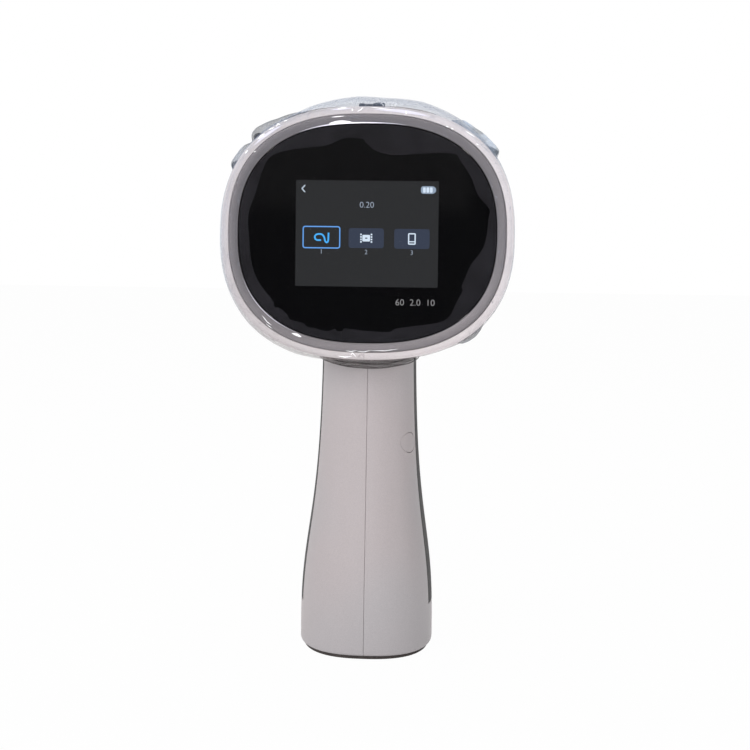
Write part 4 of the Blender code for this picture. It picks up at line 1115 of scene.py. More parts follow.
def handle_outside():
    """The right half of the handle's outside, the angles of its columns, which of them have the skin's
    bed, and the column where the window ends."""
    heights, insets, bed = handle_rows()
    angle, front_columns, window_column = handle_angles(heights[:, None])
    in_front = np.arange(angle.shape[1]) < front_columns
    start_height, curve = fillet_rows(angle[-1:])
    above = np.maximum(heights[:, None] - window_low, 0.0)
    squeeze = np.minimum(1.0, (start_height - small_round - window_low) / (heights[-1] - window_low))
    height = np.minimum(heights[:, None], window_low) + above * squeeze
    bed_inset = (grip_thickness + clearance) * (bed[:, None] & in_front[None, :])
    lower = handle_points(height, insets[:, None] + bed_inset, angle)
    share = np.linspace(0.0, 1.0, 6)[1:, None]
    climb = height[-1:] + (start_height - height[-1:]) * share
    outer = np.concatenate((lower, handle_points(climb, 0.0, angle[-1:]), curve), axis=0)
    half_width = handle_sizes(outer[..., 2])[0]
    outer[..., 0], outer[..., 1] = seamed(outer[..., 0], outer[..., 1], half_width)
    angles = np.broadcast_to(angle[-1:], outer.shape[:2]).copy()
    angles[:len(heights)] = angle
    return outer, angles, in_front, window_column


def handle_inside(outer, angles, in_front):
    """The inside of the handle's right half: a wall's thickness in, and deeper behind the skin's bed."""
    height = np.maximum(outer[..., 2], housing_bottom)
    wall = handle_wall + (grip_thickness + clearance) * in_front[None, :]
    across, depth = handle_section(height, wall, angles)
    height = np.minimum(height, head_floor(across, depth) + handle_wall)
    across, depth = seamed(across, depth, handle_sizes(outer[..., 2])[0])
    return points_at(across, depth, height)


def make_handle_shell():
    """The flared handle in two halves, with a bed for the grip, a window, a fillet under the head and the
    plug's hole."""
    outer, angles, in_front, window_column = handle_outside()
    inner = handle_inside(outer, angles, in_front)
    middle_height = (outer[1:, :1, 2] + outer[:-1, :1, 2]) / 2.0
    in_window = (middle_height > window_low) & (middle_height < window_high)
    keep = ~(in_window & (np.arange(outer.shape[1] - 1)[None, :] < window_column))
    right = add_halves("handle", walled(outer, inner, keep))[1]
    place = (0.0, plug_depth, plug_height)
    bore(right, plug_radius + plug_groove, plug_low[0], plug_high[0] * 1.3, "X", place, 96)


def make_plug():
    """The flush plug: rings out from its middle, each point on the handle's side,
    x = a (1 - |y / b| ** n) ** (1 / n), and its edge rolled in."""
    sine, fall = quarter(5)
    flat_shares = np.linspace(0.02, 1.0, 14)
    radius = np.concatenate((flat_shares * (plug_radius - small_round),
                             plug_radius - small_round * (1.0 - sine[1:])))
    sink = np.concatenate((np.zeros_like(flat_shares), small_round * fall[1:]))
    angle = round_trip(96)
    depth = plug_depth + radius[:, None] * np.cos(angle)
    height = plug_height + radius[:, None] * np.sin(angle)
    half_width, half_depth = handle_sizes(height)
    side = half_width * (1.0 - np.abs(depth / half_depth) ** handle_exponent) ** (1.0 / handle_exponent)
    face = points_at(side - sink[:, None], depth, height)
    back = face[-1:].copy()
    back[..., 0] = plug_low[0]
    add_piece("flush_side_plug", tube(np.concatenate((face, back))), "painted_shell", "screw_plug")


# Grip, foot, trigger and button

def make_grip():
    """The dark skin on the front of the handle, its edge rolled over, with the trigger's window."""
    edge_steps = grip_edge_round * np.linspace(0.0, 1.0, 6) ** 1.5
    bottom, top = grip_low[2], grip_high[2]
    last_angle = math.pi - grip_edge_angle
    middle = np.linspace(bottom, top, 110)[2:-2]
    height = np.concatenate((bottom + edge_steps, middle, top - edge_steps[::-1]))[:, None]
    edge_angles = edge_steps / handle_neck_half_width
    middle = np.linspace(grip_edge_angle, last_angle, 110)[2:-2]
    angle = np.concatenate((grip_edge_angle + edge_angles, middle, last_angle - edge_angles[::-1]))
    side_gap = np.minimum(angle - grip_edge_angle, last_angle - angle)
    end_gap = np.minimum(height - bottom, top - height)
    gap = np.minimum(side_gap * handle_neck_half_width, end_gap)
    outer = handle_points(height, rolled(np.maximum(gap, 0.0), grip_edge_round), angle)
    inner = handle_points(height, grip_thickness, angle)
    grip = add_piece("front_grip_skin", walled(outer[:, ::-1], inner[:, ::-1]), "dark_grip", "front_grip")
    half_height = (window_high - window_low) / 2.0
    across, up = superellipse(round_trip(96), window_half_width, half_height, window_exponent)
    ring = points_at(across, 0.0, up + (window_high + window_low) / 2.0)
    cut(grip, [ring + (0.0, depth, 0.0) for depth in (handle_base_half_depth, pin_depth)])


def make_foot_pad():
    """The flat rubber pad, with its lower edge rounded and a hole for each charging contact."""
    sine, fall = quarter(5)
    inset = foot_pad_inset + np.concatenate((foot_pad_round * (1.0 - sine), [0.0]))[:, None]
    height = np.concatenate((foot_pad_round * fall, [pad_high[2]]))[:, None]
    half_width, half_depth = handle_sizes(housing_bottom)
    across, depth = superellipse(round_trip(160), half_width - inset, half_depth - inset, handle_exponent)
    pad = add_piece("foot_pad", tube(points_at(across, depth, height)), "foot_rubber", "base_pad")
    for side in ("left", "right"):
        low, high = corners(f"charge_contact_{side}")
        place = ((low[0] + high[0]) / 2.0, (low[1] + high[1]) / 2.0, 0.0)
        bore(pad, (high[0] - low[0]) / 2.0, -high[2], high[2], "Z", place, 48)


def make_trigger():
    """The trigger: its side view carried across its width, with rounded flanks, bored for its pin and
    notched for its spring."""
    eye_angle = np.radians(trigger_eye_angles)
    eye = trigger_eye_radius * points_at(np.cos(eye_angle), np.sin(eye_angle))
    blade = np.array(trigger_outline_shares) * (trigger_reach, trigger_length)
    loop = smooth_loop(np.concatenate((eye, blade)), 8)
    half_width = trigger_high[0]
    fall = quarter(9)[1]
    across = np.concatenate((-half_width + trigger_side_round * fall,
                             np.linspace(-half_width, half_width, 12)[2:-2],
                             half_width - trigger_side_round * fall[::-1]))
    rings = []
    for place in across:
        side = drawn_in(loop, rolled(half_width - abs(place), trigger_side_round))
        rings.append(points_at(place, pin_depth + side[:, 0], pin_height + side[:, 1]))
    trigger = add_piece("exposure_trigger", tube(rings), "dark_plastic", "trigger", body="trigger")
    place = (0.0, pin_depth, pin_height)
    bore(trigger, pin_radius + clearance, -half_width * 1.2, half_width * 1.2, "X", place, 32)
    notch = np.array(((-1.0, -1.0), (1.0, -1.0), (1.0, 1.0), (-1.0, 1.0))) * notch_half_size
    notch = notch + (pin_depth - notch_shift, pin_height + notch_shift)
    cut(trigger, [points_at(side * notch_half_width, notch[:, 0], notch[:, 1]) for side in (-1.0, 1.0)])


def make_button():
    """The power key: a low turned dome on its stem and flange."""
    sine, fall = quarter(7)
    top = button_high[2]
    edge_top = top - button_crown
    face_radius = button_radius - button_edge_round
    share = np.linspace(0.04, 1.0, 8)
    flange_top = beam_height + head_sizes(button_depth + button_flange_radius)[1] - head_wall - clearance
    flange_bottom = flange_top - button_flange
    profile = np.concatenate((
        points_at(face_radius * share, top - button_crown * share ** 2),
        points_at(face_radius + button_edge_round * sine, edge_top - button_edge_round * fall)[1:],
        [(button_radius, flange_top), (button_flange_radius, flange_top),
         (button_flange_radius, flange_bottom), (button_stem_radius, flange_bottom),
         (button_stem_radius, button_low[2])],
    ))
    rings = turned_points(profile, "Z", (0.0, button_depth, 0.0), 64)
    add_piece("power_key", tube(rings), "dark_plastic", "power_button", body="power_button")


# Cone

def turn_round_beam(name, profile, slot, replaced):
    """A piece turned round the beam from a closed profile of radius and depth."""
    rings = turned_points(profile, "Y", (0.0, 0.0, beam_height), cone_sides)
    add_piece(name, tube(rings, True), slot, replaced)


def make_cone():
    """The cone: a flange at its root, a plain tube and a lip rounded on both sides."""
    sine, fall = quarter(7)
    inside = cone_radius - cone_wall
    rear, front = cone_low[1], cone_high[1]
    lip = cone_lip_round
    profile = np.concatenate((
        [(inside, rear), (cone_high[0], rear), (cone_high[0], rear + cone_flange),
         (cone_radius, rear + cone_flange)],
        points_at(cone_radius, np.linspace(rear + cone_flange * 2.0, front - lip * 2.0, 12)),
        points_at(cone_radius - lip * fall, front - lip * (1.0 - sine)),
        points_at(inside + small_round * (1.0 - sine), front - small_round * fall),
    ))
    turn_round_beam("beam_cone", profile, "painted_shell", "cone")


def make_lining():
    """The lead sleeve in the cone."""
    outer = lining_high[0]
    inner = outer - lining_thickness
    rear, front = lining_low[1], lining_high[1]
    profile = ((inner, rear), (outer, rear), (outer, front), (inner, front))
    turn_round_beam("lead_lining_sleeve", profile, "lead", "cone_lining")


def make_trim_ring():
    """The trim ring at the cone's root, with a sloping face and rounded edges."""
    sine, fall = quarter(7)
    inner = cone_radius + clearance
    outer = ring_high[0]
    rear, front = ring_low[1], ring_high[1]
    profile = np.concatenate((
        [(inner, rear)],
        points_at(outer - small_round * (1.0 - sine), rear + small_round * fall),
        points_at(outer - ring_slope - small_round * fall, front - small_round * (1.0 - sine)),
        [(inner, front)],
    ))
    turn_round_beam("nose_trim_ring", profile, "bezel_metal", "front_ring")


# Screen

def ring_surface(insets, depths):
    """Rings of the head's rear outline, drawn in by insets and set at depths."""
    insets = np.asarray(insets)[:, None]
    across, up = superellipse(round_trip(360), head_half_width - insets, head_half_height - insets,
                              head_exponent)
    return points_at(across, np.asarray(depths)[:, None], beam_height + up)


def make_bezel():
    """The metal ring: a rounded outer edge, a face that sinks as cove * share ** 2, an inner chamfer."""
    sine, fall = quarter(6)
    back = bezel_high[1]
    face_start = bezel_inset + bezel_edge_round
    face_end = glass_inset - clearance - bezel_chamfer
    share = np.linspace(0.0, 1.0, 13)[1:-1]
    chamfer_share = np.linspace(0.0, 1.0, 4)
    insets = np.concatenate(([bezel_inset], bezel_inset + bezel_edge_round * fall,
                             face_start + (face_end - face_start) * share,
                             face_end + bezel_chamfer * chamfer_share,
                             [glass_inset - clearance]))
    depths = np.concatenate(([back], bezel_face + bezel_edge_round * (1.0 - sine),
                             bezel_face + bezel_cove * share ** 2,
                             bezel_face + bezel_cove + bezel_chamfer_drop * chamfer_share, [back]))
    add_piece("screen_bezel", tube(ring_surface(insets, depths), True), "bezel_metal", "rear_bezel")


def make_glass():
    """The cover glass, with its front edge eased."""
    sine, fall = quarter(6)
    face_inset = glass_inset + 2.0 * small_round
    insets = np.concatenate(([glass_inset], glass_inset + small_round * fall, [face_inset]))
    depths = np.concatenate(([glass_high[1]], glass_low[1] + small_round * (1.0 - sine), [glass_low[1]]))
    add_piece("cover_glass", tube(ring_surface(insets, depths)), "display_glass", "display_glass")


def polar_edge(turn, half_width, half_height):
    """The point of a superellipse in a direction: r = (|cos / a| ** n + |sin / b| ** n) ** (-1 / n)."""
    cosine = np.cos(turn)
    sine = np.sin(turn)
    shares = np.abs(cosine / half_width) ** head_exponent + np.abs(sine / half_height) ** head_exponent
    reach = shares ** (-1.0 / head_exponent)
    return np.stack((reach * cosine, reach * sine), axis=-1)


def make_display_film():
    """The glass's own film: it clings in a blot in the middle and stands off in a ring around it.

    The blot is a drawn outline. The ring runs in straight lines from it to the glass's edge. It stands
    off by sin(pi share) * (1 - ripple + ripple * sin(ripples * turn + drift * sin(drifts * turn))).
    """
    blot = smooth_loop(np.array(film_blot) * millimetre, 9)
    turn = np.arctan2(blot[:, 1], blot[:, 0])
    edge = polar_edge(turn, glass_half_width - clearance, glass_half_height - clearance)
    share = np.linspace(0.0, 1.0, 18)[:, None]
    flat = blot * (1.0 - share[..., None]) + edge * share[..., None]
    ripple = np.sin(turn * blot_ripples + blot_drift_angle * np.sin(turn * blot_drifts))
    swell = np.sin(math.pi * share) * (1.0 - blot_ripple_share + blot_ripple_share * ripple)
    front = film_clinging_depth - film_standing * swell
    lifted = flat_sheet(flat, front, front + film_thickness, True)
    add_piece("lifted_screen_film", lifted, "clear_film", "display_film", dry_film_finish())
    rings = [blot * share for share in blot_ring_shares]
    front = [standing(ring, film_clinging_depth) for ring in rings]
    back = [standing(ring, film_clinging_depth + film_thickness) for ring in rings[::-1]]
    add_piece("clinging_screen_film", tube(front + back), "clear_film", "display_film", wet_film_finish())


# Lit screen

def rounded_box(middle, size, radius, steps=6):
    """Outline of a rectangle with round corners, counterclockwise."""
    half_width = size[0] / 2.0 - radius
    half_height = size[1] / 2.0 - radius
    turn = np.linspace(0.0, quarter_turn, steps)
    corner = radius * np.stack((np.cos(turn), np.sin(turn)), axis=1)
    first = corner + (half_width, half_height)
    second = np.stack((-corner[::-1, 0], corner[::-1, 1]), axis=1) + (-half_width, half_height)
    loop = np.concatenate((first, second, -first, -second))
    return loop + middle


def add_plate(name, outline, colour, lift):
    """A thin lit plate on the glass with a given outline."""
    front = glass_low[1] - lift
    add_piece(name, tube([standing(outline, front), standing(outline, front + lift)]), "lcd",
              material=lit[colour])


def add_band(name, edges, colour, lift, looped=False):
    """A thin lit band on the glass between two edges."""
    front = glass_low[1] - lift
    add_piece(name, flat_sheet(edges, front, front + lift, looped), "lcd", material=lit[colour])


def add_frame(name, outline, width, colour, lift):
    """A lit band along the inside of an outline."""
    add_band(name, np.stack((drawn_in(outline, width), outline)), colour, lift, True)


def add_stroke(name, stops, count, width, colour, lift):
    """A lit line of a given width, through so many points in equal steps from stop to stop."""
    add_band(name, ribbon(line_points(stops, count), width), colour, lift)


def add_digits(name, text, height, middle, material, lift):
    """Plain figures on the glass. Their outlines are filled flat and set by their middle."""
    curve = bpy.data.curves.new(name, "FONT")
    curve.body = text
    curve.align_x = "CENTER"
    curve.align_y = "CENTER"
    curve.size = height / capital_share
    curve.resolution_u = 4
    curve.offset = -height * figure_thinning
    holder = linked(name, curve)
    graph = bpy.context.evaluated_depsgraph_get()
    mesh = bpy.data.meshes.new_from_object(holder.evaluated_get(graph))
    bpy.data.objects.remove(holder)
    flat = np.empty(len(mesh.vertices) * 3)
    mesh.vertices.foreach_get("co", flat)
    flat = flat.reshape(-1, 3)[:, :2] + middle
    mesh.vertices.foreach_set("co", standing(flat, glass_low[1] - lift).ravel())
    mesh.materials.clear()
    dressed(name, mesh, material)


def make_screen_top():
    """The lit ground with a back arrow, a battery with its bars, and a number."""
    first, second, third = screen_lifts
    add_plate("screen_ground", rounded_box(screen_middle, screen_size, clearance), "dark", first)
    arrow = np.array(arrow_shares) * (arrow_size[0], arrow_size[1] / 2.0)
    add_stroke("screen_back_arrow", arrow + arrow_middle, 13, line_width, "white", second)
    width, height = battery_size
    battery = rounded_box(battery_middle, battery_size, height / 3.0)
    nose = battery[:, 0] > battery_middle[0]
    off_middle = np.abs(battery[nose, 1] - battery_middle[1])
    battery[nose, 0] += battery_nose * (1.0 - off_middle * 2.0 / height)
    add_plate("screen_battery", battery, "grey_blue", second)
    bar = np.array(battery_bar_shares) * battery_size
    for number, step in enumerate((-1.0, 0.0, 1.0), 1):
        middle = (battery_middle[0] + step * battery_bar_pitch_share * width, battery_middle[1])
        add_plate(f"screen_battery_bar_{number}", rounded_box(middle, bar, line_width), "white", third)
    add_digits("screen_number", "0.20", heading_height, heading_middle, lit["soft_white"], third)


def make_screen_tiles():
    """Three tiles with a number under each. The first is dark and edged, as the chosen one."""
    second, third = screen_lifts[1:]
    for number, middle in enumerate(tile_middles, 1):
        tile = rounded_box(middle, tile_size, tile_round)
        add_plate(f"screen_tile_{number}", tile, "dark" if number == 1 else "tile", second)
        add_digits(f"screen_label_{number}", str(number), label_height, (middle[0], label_height_place),
                   lit["soft_white"], third)
    edge = rounded_box(tile_middles[0], np.array(tile_size) + line_width * 3.0, tile_round)
    add_frame("screen_tile_edge", edge, line_width * 1.3, "blue", third)


def make_screen_marks():
    """A plain sign on each tile: a curled cable, a sheet with squares down its sides, and a pane."""
    lift = screen_lifts[2]
    cable_tile, sheet_tile, pane_tile = tile_middles
    cable = np.array(cable_mark) * mark_size + cable_tile
    add_stroke("screen_mark_cable", cable, 90, line_width * 1.9, "bright_blue", lift)
    sheet = rounded_box(sheet_tile, (mark_size, mark_size * sheet_height_share), line_width)
    add_frame("screen_mark_sheet", sheet, mark_size * sheet_band_share, "white", lift)
    side, near, far = sheet_spot_shares
    spots = [(x, y) for x in (-side, side) for y in (-far, -near, near, far)]
    for number, spot in enumerate(spots, 1):
        middle = np.array(spot) * mark_size + sheet_tile
        square = rounded_box(middle, (line_width * 1.8, line_width * 1.8), line_width / 3.0, 3)
        add_plate(f"screen_mark_square_{number}", square, "white", lift)
    pane = rounded_box(pane_tile, (mark_size, mark_size * pane_height_share), line_width * 1.5)
    add_frame("screen_mark_pane", pane, line_width * 1.4, "white", lift)
    foot = np.array(pane_foot_shares) * mark_size + pane_tile
    add_stroke("screen_mark_foot", foot, 5, line_width * 1.2, "white", lift)


# Packaging film round the head

def add_film(name, shape, material):
    """Adds a piece of the packaging film."""
    add_piece(name, shape, "clear_film", "wrapping_film", material)


def crumple(points, seed, scale, waves=9):
    """Sum of triangle waves |2 frac(k . p) - 1| - 0.5 along random directions, over their count's root.

    The creases are the waves' corners, straight and sharp as in a stiff clear film.
    """
    random = np.random.default_rng(seed)
    total = np.zeros(points.shape[:-1])
    for _ in range(waves):
        direction = random.normal(size=3)
        direction *= scale * random.uniform(*crumple_scale_shares) / np.linalg.norm(direction)
        phase = points @ direction + random.uniform()
        total += np.abs(2.0 * (phase - np.floor(phase)) - 1.0) - 0.5
    return total / waves ** 0.5


def film_path():
    """Inset and depth along the film, from the bezel over the rim to the hem, and how free it hangs."""
    start = np.linspace(film_start_inset, film_turn_radius, 12, endpoint=False)
    sine, fall = quarter(9)
    side = np.linspace(0.0, 1.0, 66)[1:]
    inset = np.concatenate((start, film_turn_radius * (1.0 - sine) - clearance,
                            np.full(len(side), -clearance)))
    front = bezel_face - film_bezel_gap
    turn_depth = front + film_turn_radius
    depth = np.concatenate((np.full(len(start), front), front + film_turn_radius * fall,
                            turn_depth + (film_hem_depth - turn_depth) * side))
    free = np.concatenate((np.zeros(len(start)), np.linspace(0.0, film_turn_share, len(fall)),
                           film_turn_share + (1.0 - film_turn_share) * side))
    return inset[:, None], depth[:, None], free[:, None]


def clear_of_neck(points):
    """Which cells of a looped grid keep off the handle: those with no corner in its section or in the
    gap that the film keeps round it."""
    half_width, half_depth = handle_sizes(points[..., 2])
    reach = (np.abs(points[..., 0] / (half_width + film_neck_gap)) ** handle_exponent
             + np.abs(points[..., 1] / (half_depth + film_neck_gap)) ** handle_exponent)
    on_neck = (reach < 1.0) & (points[..., 2] < beam_height)
    touched = on_neck | np.roll(on_neck, -1, axis=1)
    return ~(touched[:-1] | touched[1:])


def make_wrapping_film():
    """One crinkled sheet over bezel, rim and bell.

    Each point is the head's section moved out by lift(angle) * rise(way along) + crumple. The lift is
    listed by angle: the film stands up over the top and bulges at the corners.
    """
    inset, depth, free = film_path()
    across, up = head_points(np.maximum(depth, head_rear), 0.0, round_trip(640)[None, :])
    turn = np.degrees(np.arctan2(up, across)) % 360.0
    at, lifts = np.array(film_lifts).T
    lift = np.interp(turn, at, lifts, period=360.0) * millimetre
    fall = eased((free - film_fall_start_share) / (1.0 - film_fall_start_share))
    rise = eased(free / film_rise_share) * (1.0 - film_fall_share * fall)
    flat = points_at(across, depth, up)
    folds = (crumple(flat, film_fold_seed, film_fold_scale, film_fold_waves)
             + film_gather_share * crumple(flat, film_gather_seed, film_gather_scale))
    amplitude = film_crease + (film_free_crease - film_crease) * eased(free * film_crease_rate)
    off = lift * rise + amplitude * (folds + film_crease_lift) - inset
    length = np.hypot(across, up)
    hem_wave = crumple(flat[-1:] * (1.0, 0.0, 1.0), film_hem_seed, film_hem_scale)
    loose = eased((free - film_hem_start_share) / (1.0 - film_hem_start_share))
    front_wave = np.where(free > 0.0, 0.0, film_crease * 0.5 * folds)
    outer_depth = depth + film_hem_wave * loose * hem_wave - front_wave
    outer_share = 1.0 + off / length
    inner_share = 1.0 + (off - film_thickness) / length
    outer = points_at(across * outer_share, outer_depth, beam_height + up * outer_share)
    inner = points_at(across * inner_share, outer_depth + film_thickness, beam_height + up * inner_share)
    sheet = walled(outer, inner, clear_of_neck(outer), True)
    add_film("crinkled_head_film", sheet, finishes["clear_film"])


def make_film_fold(name, stops, fullness, material):
    """A fold of film that stands out from the head: a flat pillow between the head's outline and a drawn
    edge. Its half thickness is fullness * sqrt(share * (1 - share)) from its root to its edge. Where the
    fold's height is less than its fullness, the height takes its place."""
    turns, lifts = np.array(stops).T
    turn = np.radians(np.linspace(turns[0], turns[-1], film_fold_columns))
    way = 1.0 if turns[-1] > turns[0] else -1.0
    lift = np.interp(np.degrees(turn) * way, turns * way, lifts) * millimetre
    padded = np.pad(lift, film_fold_smoothing // 2, mode="edge")
    lift = np.convolve(padded, np.full(film_fold_smoothing, 1.0 / film_fold_smoothing), mode="valid")
    half_width, half_height, _ = head_sizes(film_fold_depth)
    root = polar_edge(turn, half_width, half_height)
    length = np.linalg.norm(root, axis=1, keepdims=True)
    share = 0.5 - 0.5 * np.cos(np.linspace(0.0, math.pi, film_fold_rows))
    share = np.concatenate((share, share[-2:0:-1]))
    face = np.where(np.arange(len(share)) < film_fold_rows, -1.0, 1.0)
    swell = np.sqrt(share * (1.0 - share)) * face
    rings = []
    for place, reach, height in zip(root, length, lift):
        flat = place * (1.0 + (clearance + height * share[:, None]) / reach)
        rings.append(standing(flat, film_fold_depth + swell * min(fullness, height)))
    add_film(name, tube(rings), material)


def make_rim_film(material):
    """A second, tight layer of film on the rim's face and its rounding, shaped like the rim itself. Its
    painted glow lightens the rim, more on the right.
    """
    sine, fall = quarter(9)
    inset = np.concatenate(([bezel_inset - clearance], head_rim_round * (1.0 - sine)))
    depth = head_rear + np.concatenate(([0.0], head_rim_round * fall))
    lifts = (rim_film_lift, rim_film_lift / 2.0)
    outer, inner = [ring_surface(inset - lift, depth - lift) for lift in lifts]
    add_film("rim_film", walled(outer, inner, looped=True), material)


def taper(tip_share, count):
    """The sine of pi * share, from a tip's share at one end to the same at the other."""
    return np.sin(math.pi * np.linspace(tip_share, 1.0 - tip_share, count))


def add_film_ridge(name, edges, layer, material):
    """A flat ridge between two edges, so many creases' depths off the film's front."""
    front = bezel_face - film_bezel_gap - layer * film_crease
    add_film(name, flat_sheet(edges, front - film_thickness, front), material)


def make_film_creases(material):
    """Painted highlights of creases on the film's front, which taper to their ends."""
    widths = taper(film_crease_tip_share, 24)[:, None]
    for number, (width, stops) in enumerate(painted_crease_highlights, 1):
        path = line_points(np.array(stops) * millimetre, len(widths))
        edges = ribbon(path, widths * width * millimetre)
        add_film_ridge(f"film_crease_{number}", edges, film_crease_layer, material)


def make_film_bands(name, bands, material):
    """Bands on the film's front that follow the head's outline and taper to their ends. The bright ones are
    painted highlights.
    """
    widths = taper(film_band_tip_share, 60)
    for number, (width, inset, first, last) in enumerate(bands, 1):
        angle = np.radians(np.linspace(first, last, len(widths)))
        insets = [(inset + side * width * widths) * millimetre for side in (-0.5, 0.5)]
        edges = np.array([points_at(*head_points(head_rear, inset, angle)) for inset in insets])
        add_film_ridge(f"{name}_{number}", edges, film_band_layer, material)


def skirt_edge(rise, angle, seed):
    """Heights of the skirt's lower edge round the neck, raised by a rise and waved by a seed's crumple."""
    middle = beam_height - skirt_drop + rise
    across, depth = handle_section(middle, 0.0, angle)
    wave = crumple(points_at(across, depth, 0.0), seed, skirt_wave_scale)
    return middle + skirt_wave * wave + skirt_side_rise * (across / handle_neck_half_width) ** 2


def make_film_skirt(material):
    """The film's gathered edge round the neck, from the head's underside to a wavy lower edge: the handle's
    outline moved out by gap + flare * (1 - share) ** 2 + pleat * (crumple + pleat lift)."""
    angle = round_trip(480)[None, :]
    share = np.linspace(0.0, 1.0, 22)[:, None]
    across, depth = handle_section(beam_height - skirt_drop, 0.0, angle)
    high = head_floor(across * skirt_reach_share, depth * skirt_reach_share) - clearance
    height = high + (skirt_edge(0.0, angle, skirt_wave_seed) - high) * share
    places = points_at(across, depth, height * skirt_pleat_stretch)
    pleats = crumple(places, skirt_pleat_seed, skirt_pleat_scale)
    off = skirt_gap + skirt_flare * (1.0 - share) ** 2 + skirt_pleat * (pleats + skirt_pleat_lift)
    outer, inner = [handle_points(height, inset - off, angle) for inset in (0.0, film_thickness)]
    add_film("film_neck_skirt", walled(outer, inner, looped=True), material)


def make_hem_roll(name, rise, stand_off, seed, material):
    """The film's edge rolled to a cord round the neck, on the path of the skirt's lower edge."""
    angle = round_trip(360)[:, None]
    height = skirt_edge(rise, angle, seed)
    turn = round_trip(10)[None, :]
    off = skirt_gap + skirt_pleat + stand_off + hem_roll_radius * (1.0 + np.cos(turn))
    across, depth = handle_section(height, -off, angle)
    rings = points_at(across, depth, height + hem_roll_radius * np.sin(turn))
    add_film(name, tube(rings, True), material)


# Studio

def make_floor():
    """A pale floor that shows white to the camera but keeps a trace of the object's shadow."""
    finish = Finish("pale_floor", (0.86, 0.86, 0.86), 0.9, Specular_IOR_Level=0.0)
    grain = finish.noise(40.0, 2.0)
    finish.feed("Base Color", finish.mix(grain, (0.85, 0.85, 0.85), (0.88, 0.88, 0.88)))
    seen, glossy, passed = [finish.add("ShaderNodeLightPath", {}, {}, ray) for ray in white_rays]
    share = (seen + glossy + passed).math("MINIMUM", 1.0) * floor_glow_share
    glow = finish.add("ShaderNodeEmission", {}, {"Color": (1.0, 1.0, 1.0, 1.0)}, "Emission")
    surface = Value(finish, finish.shader.outputs["BSDF"])
    mixed = finish.add("ShaderNodeMixShader", {}, (share, surface, glow))
    finish.connect(finish.tree.nodes["Material Output"].inputs["Surface"], mixed)
    mesh = bpy.data.meshes.new("studio_floor")
    near, far = -floor_half_size, floor_half_size
    mesh.from_pydata([(near, near, 0.0), (far, near, 0.0), (far, far, 0.0), (near, far, 0.0)], [],
                     [(0, 1, 2, 3)])
    mesh.materials.append(finish.material)
    linked("studio_floor", mesh)


def add_lamp(name, place, size, power, colour):
    """A square area lamp turned to the place where the handle meets the head."""
    lamp = bpy.data.lights.new(name, "AREA")
    lamp.size = size
    lamp.energy = power
    lamp.color = colour
    holder = linked(name, lamp)
    holder.location = place
    away = holder.location - lamp_aim
    holder.rotation_euler = away.to_track_quat("Z", "Y").to_euler()


def make_world():
    """White to the camera and in reflections and glass, a softer white as light."""
    world = bpy.data.worlds.new("studio")
    world.use_nodes = True
    nodes = world.node_tree.nodes
    links = world.node_tree.links
    background = nodes["Background"]
    path = nodes.new("ShaderNodeLightPath")
    white = path.outputs[white_rays[0]]
    for ray in white_rays[1:]:
        total = nodes.new("ShaderNodeMath")
        total.operation = "ADD"
        links.new(white, total.inputs[0])
        links.new(path.outputs[ray], total.inputs[1])
        white = total.outputs[0]
    strength = nodes.new("ShaderNodeMapRange")
    strength.inputs["To Min"].default_value = ambient_strength
    links.new(white, strength.inputs["Value"])
    links.new(strength.outputs["Result"], background.inputs["Strength"])
    background.inputs["Color"].default_value = (1.0, 1.0, 1.0, 1.0)
    bpy.context.scene.world = world


def make_camera():
    """In front of the screen, a little above its middle and to the right, as in the photograph."""
    camera = bpy.data.cameras.new("camera")
    camera.sensor_width = camera_sensor
    camera.lens = camera_lens
    camera.shift_x, camera.shift_y = camera_shift
    holder = linked("camera", camera)
    holder.location = camera_place
    pitch, roll, yaw = [math.radians(turn) for turn in camera_turn_degrees]
    holder.rotation_euler = (quarter_turn + pitch, roll, yaw)
    bpy.context.scene.camera = holder


make_camera()
make_world()
make_floor()
for lamp in lamps:
    add_lamp(*lamp)
bpy.context.scene.view_settings.view_transform = "Standard"

# Finishes by slot, and those of the lit screen by colour
finishes = {
    "painted_shell": painted_finish(),
    "dark_grip": grip_finish(),
    "foot_rubber": rubber_finish(),
    "dark_plastic": dark_plastic_finish(),
    "bezel_metal": bezel_finish(),
    "display_glass": glass_finish(),
    "clear_film": clear_film_finish(),
    "lead": metal_finish("dull_lead", (0.16, 0.165, 0.175), 0.6),
    "lcd": plain_finish("switched_off_screen", (0.02, 0.022, 0.025), 0.3),
    "circuit_board": board_finish(),
    "steel": metal_finish("zinc_steel", (0.5, 0.5, 0.48), 0.34),
    "contact_brass": metal_finish("gilded_brass", (0.72, 0.5, 0.2), 0.28),
    "tank_metal": metal_finish("cast_aluminium", (0.55, 0.56, 0.57), 0.46, 500.0),
    "seal_rubber": plain_finish("black_seal_rubber", (0.03, 0.03, 0.03), 0.75),
    "tube_glass": clear_glass_finish(),
    "copper": metal_finish("enamelled_copper", (0.65, 0.3, 0.14), 0.35),
    "ferrite": plain_finish("grey_ferrite", (0.07, 0.07, 0.075), 0.65),
    "white_plastic": plain_finish("ivory_plastic", (0.72, 0.71, 0.68), 0.5),
    "cell_wrap": plain_finish("teal_cell_wrap", (0.04, 0.22, 0.26), 0.35),
}
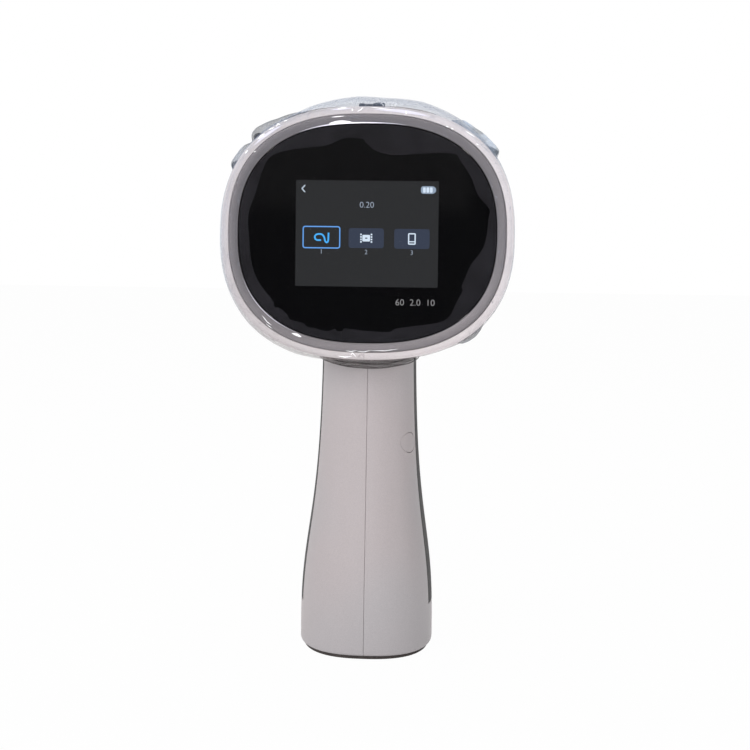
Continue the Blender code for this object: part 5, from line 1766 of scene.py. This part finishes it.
lit = {
    "dark": lit_finish("screen_dark", (0.029, 0.03, 0.032)),
    "tile": lit_finish("screen_tile", (0.045, 0.056, 0.088)),
    "white": lit_finish("screen_white", (0.72, 0.84, 0.98)),
    "grey_blue": lit_finish("screen_grey_blue", (0.3, 0.38, 0.5)),
    "soft_white": lit_finish("screen_soft_white", (0.37, 0.43, 0.53)),
    "blue": lit_finish("screen_blue", (0.15, 0.4, 0.92)),
    "bright_blue": lit_finish("screen_bright_blue", (0.08, 0.46, 1.0)),
}
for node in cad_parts.values():
    for holder in node.material_slots:
        holder.material = finishes[holder.material.name]

make_head_shell()
make_handle_shell()
make_plug()
make_grip()
make_foot_pad()
make_trigger()
make_button()
make_cone()
make_lining()
make_trim_ring()
make_bezel()
make_glass()
make_screen_top()
make_screen_tiles()
make_screen_marks()
add_digits("glass_numbers", "60  2.0  10", print_height, print_middle, ink_finish(),
           screen_lifts[0])
make_display_film()

# Packaging film
make_wrapping_film()
make_film_skirt(gathered_film_finish())
folded = folded_film_finish("folded_clear_film", (0.085, 0.1, 0.125))
lightly_folded = folded_film_finish("lightly_folded_film", (0.21, 0.25, 0.3))
rolled_up = folded_film_finish("rolled_film_edge", (0.085, 0.075, 0.073))
tucked = tucked_film_finish()
# Painted highlights: bands of film that glow and glint
painted_glow_finish = hazy_film_finish("painted_glow_clear_film", (0.9, 0.89, 1.0), 0.42, 0.35)
glinting = hazy_film_finish("painted_glint_clear_film", (1.0, 0.98, 1.0), 0.62, 0.6)
for name, stops in film_folds:
    material = lightly_folded if name == "right_fold" else folded
    make_film_fold(f"film_{name}", stops, film_fold_fullness, material)
# Dark tucks of film: painted shade
for name, stops in painted_shade_tucks:
    make_film_fold(f"film_tuck_{name}", stops, film_tuck_fullness, tucked)
make_film_bands("film_glow", painted_film_glows, painted_glow_finish)
make_film_bands("film_glint", painted_film_glints, glinting)
make_film_bands("film_line", film_lines, rolled_up)
make_film_creases(creased_film_finish())
# The rim film's painted glow lightens the rim, more on the right
make_rim_film(hazy_film_finish("painted_glow_rim_film", (0.86, 0.82, 0.83), 0.42, 0.27, 0.65, 1.35))
for number, (rise, stand_off, seed) in enumerate(hem_rolls, 1):
    make_hem_roll(f"film_hem_roll_{number}", rise, stand_off, seed, rolled_up)
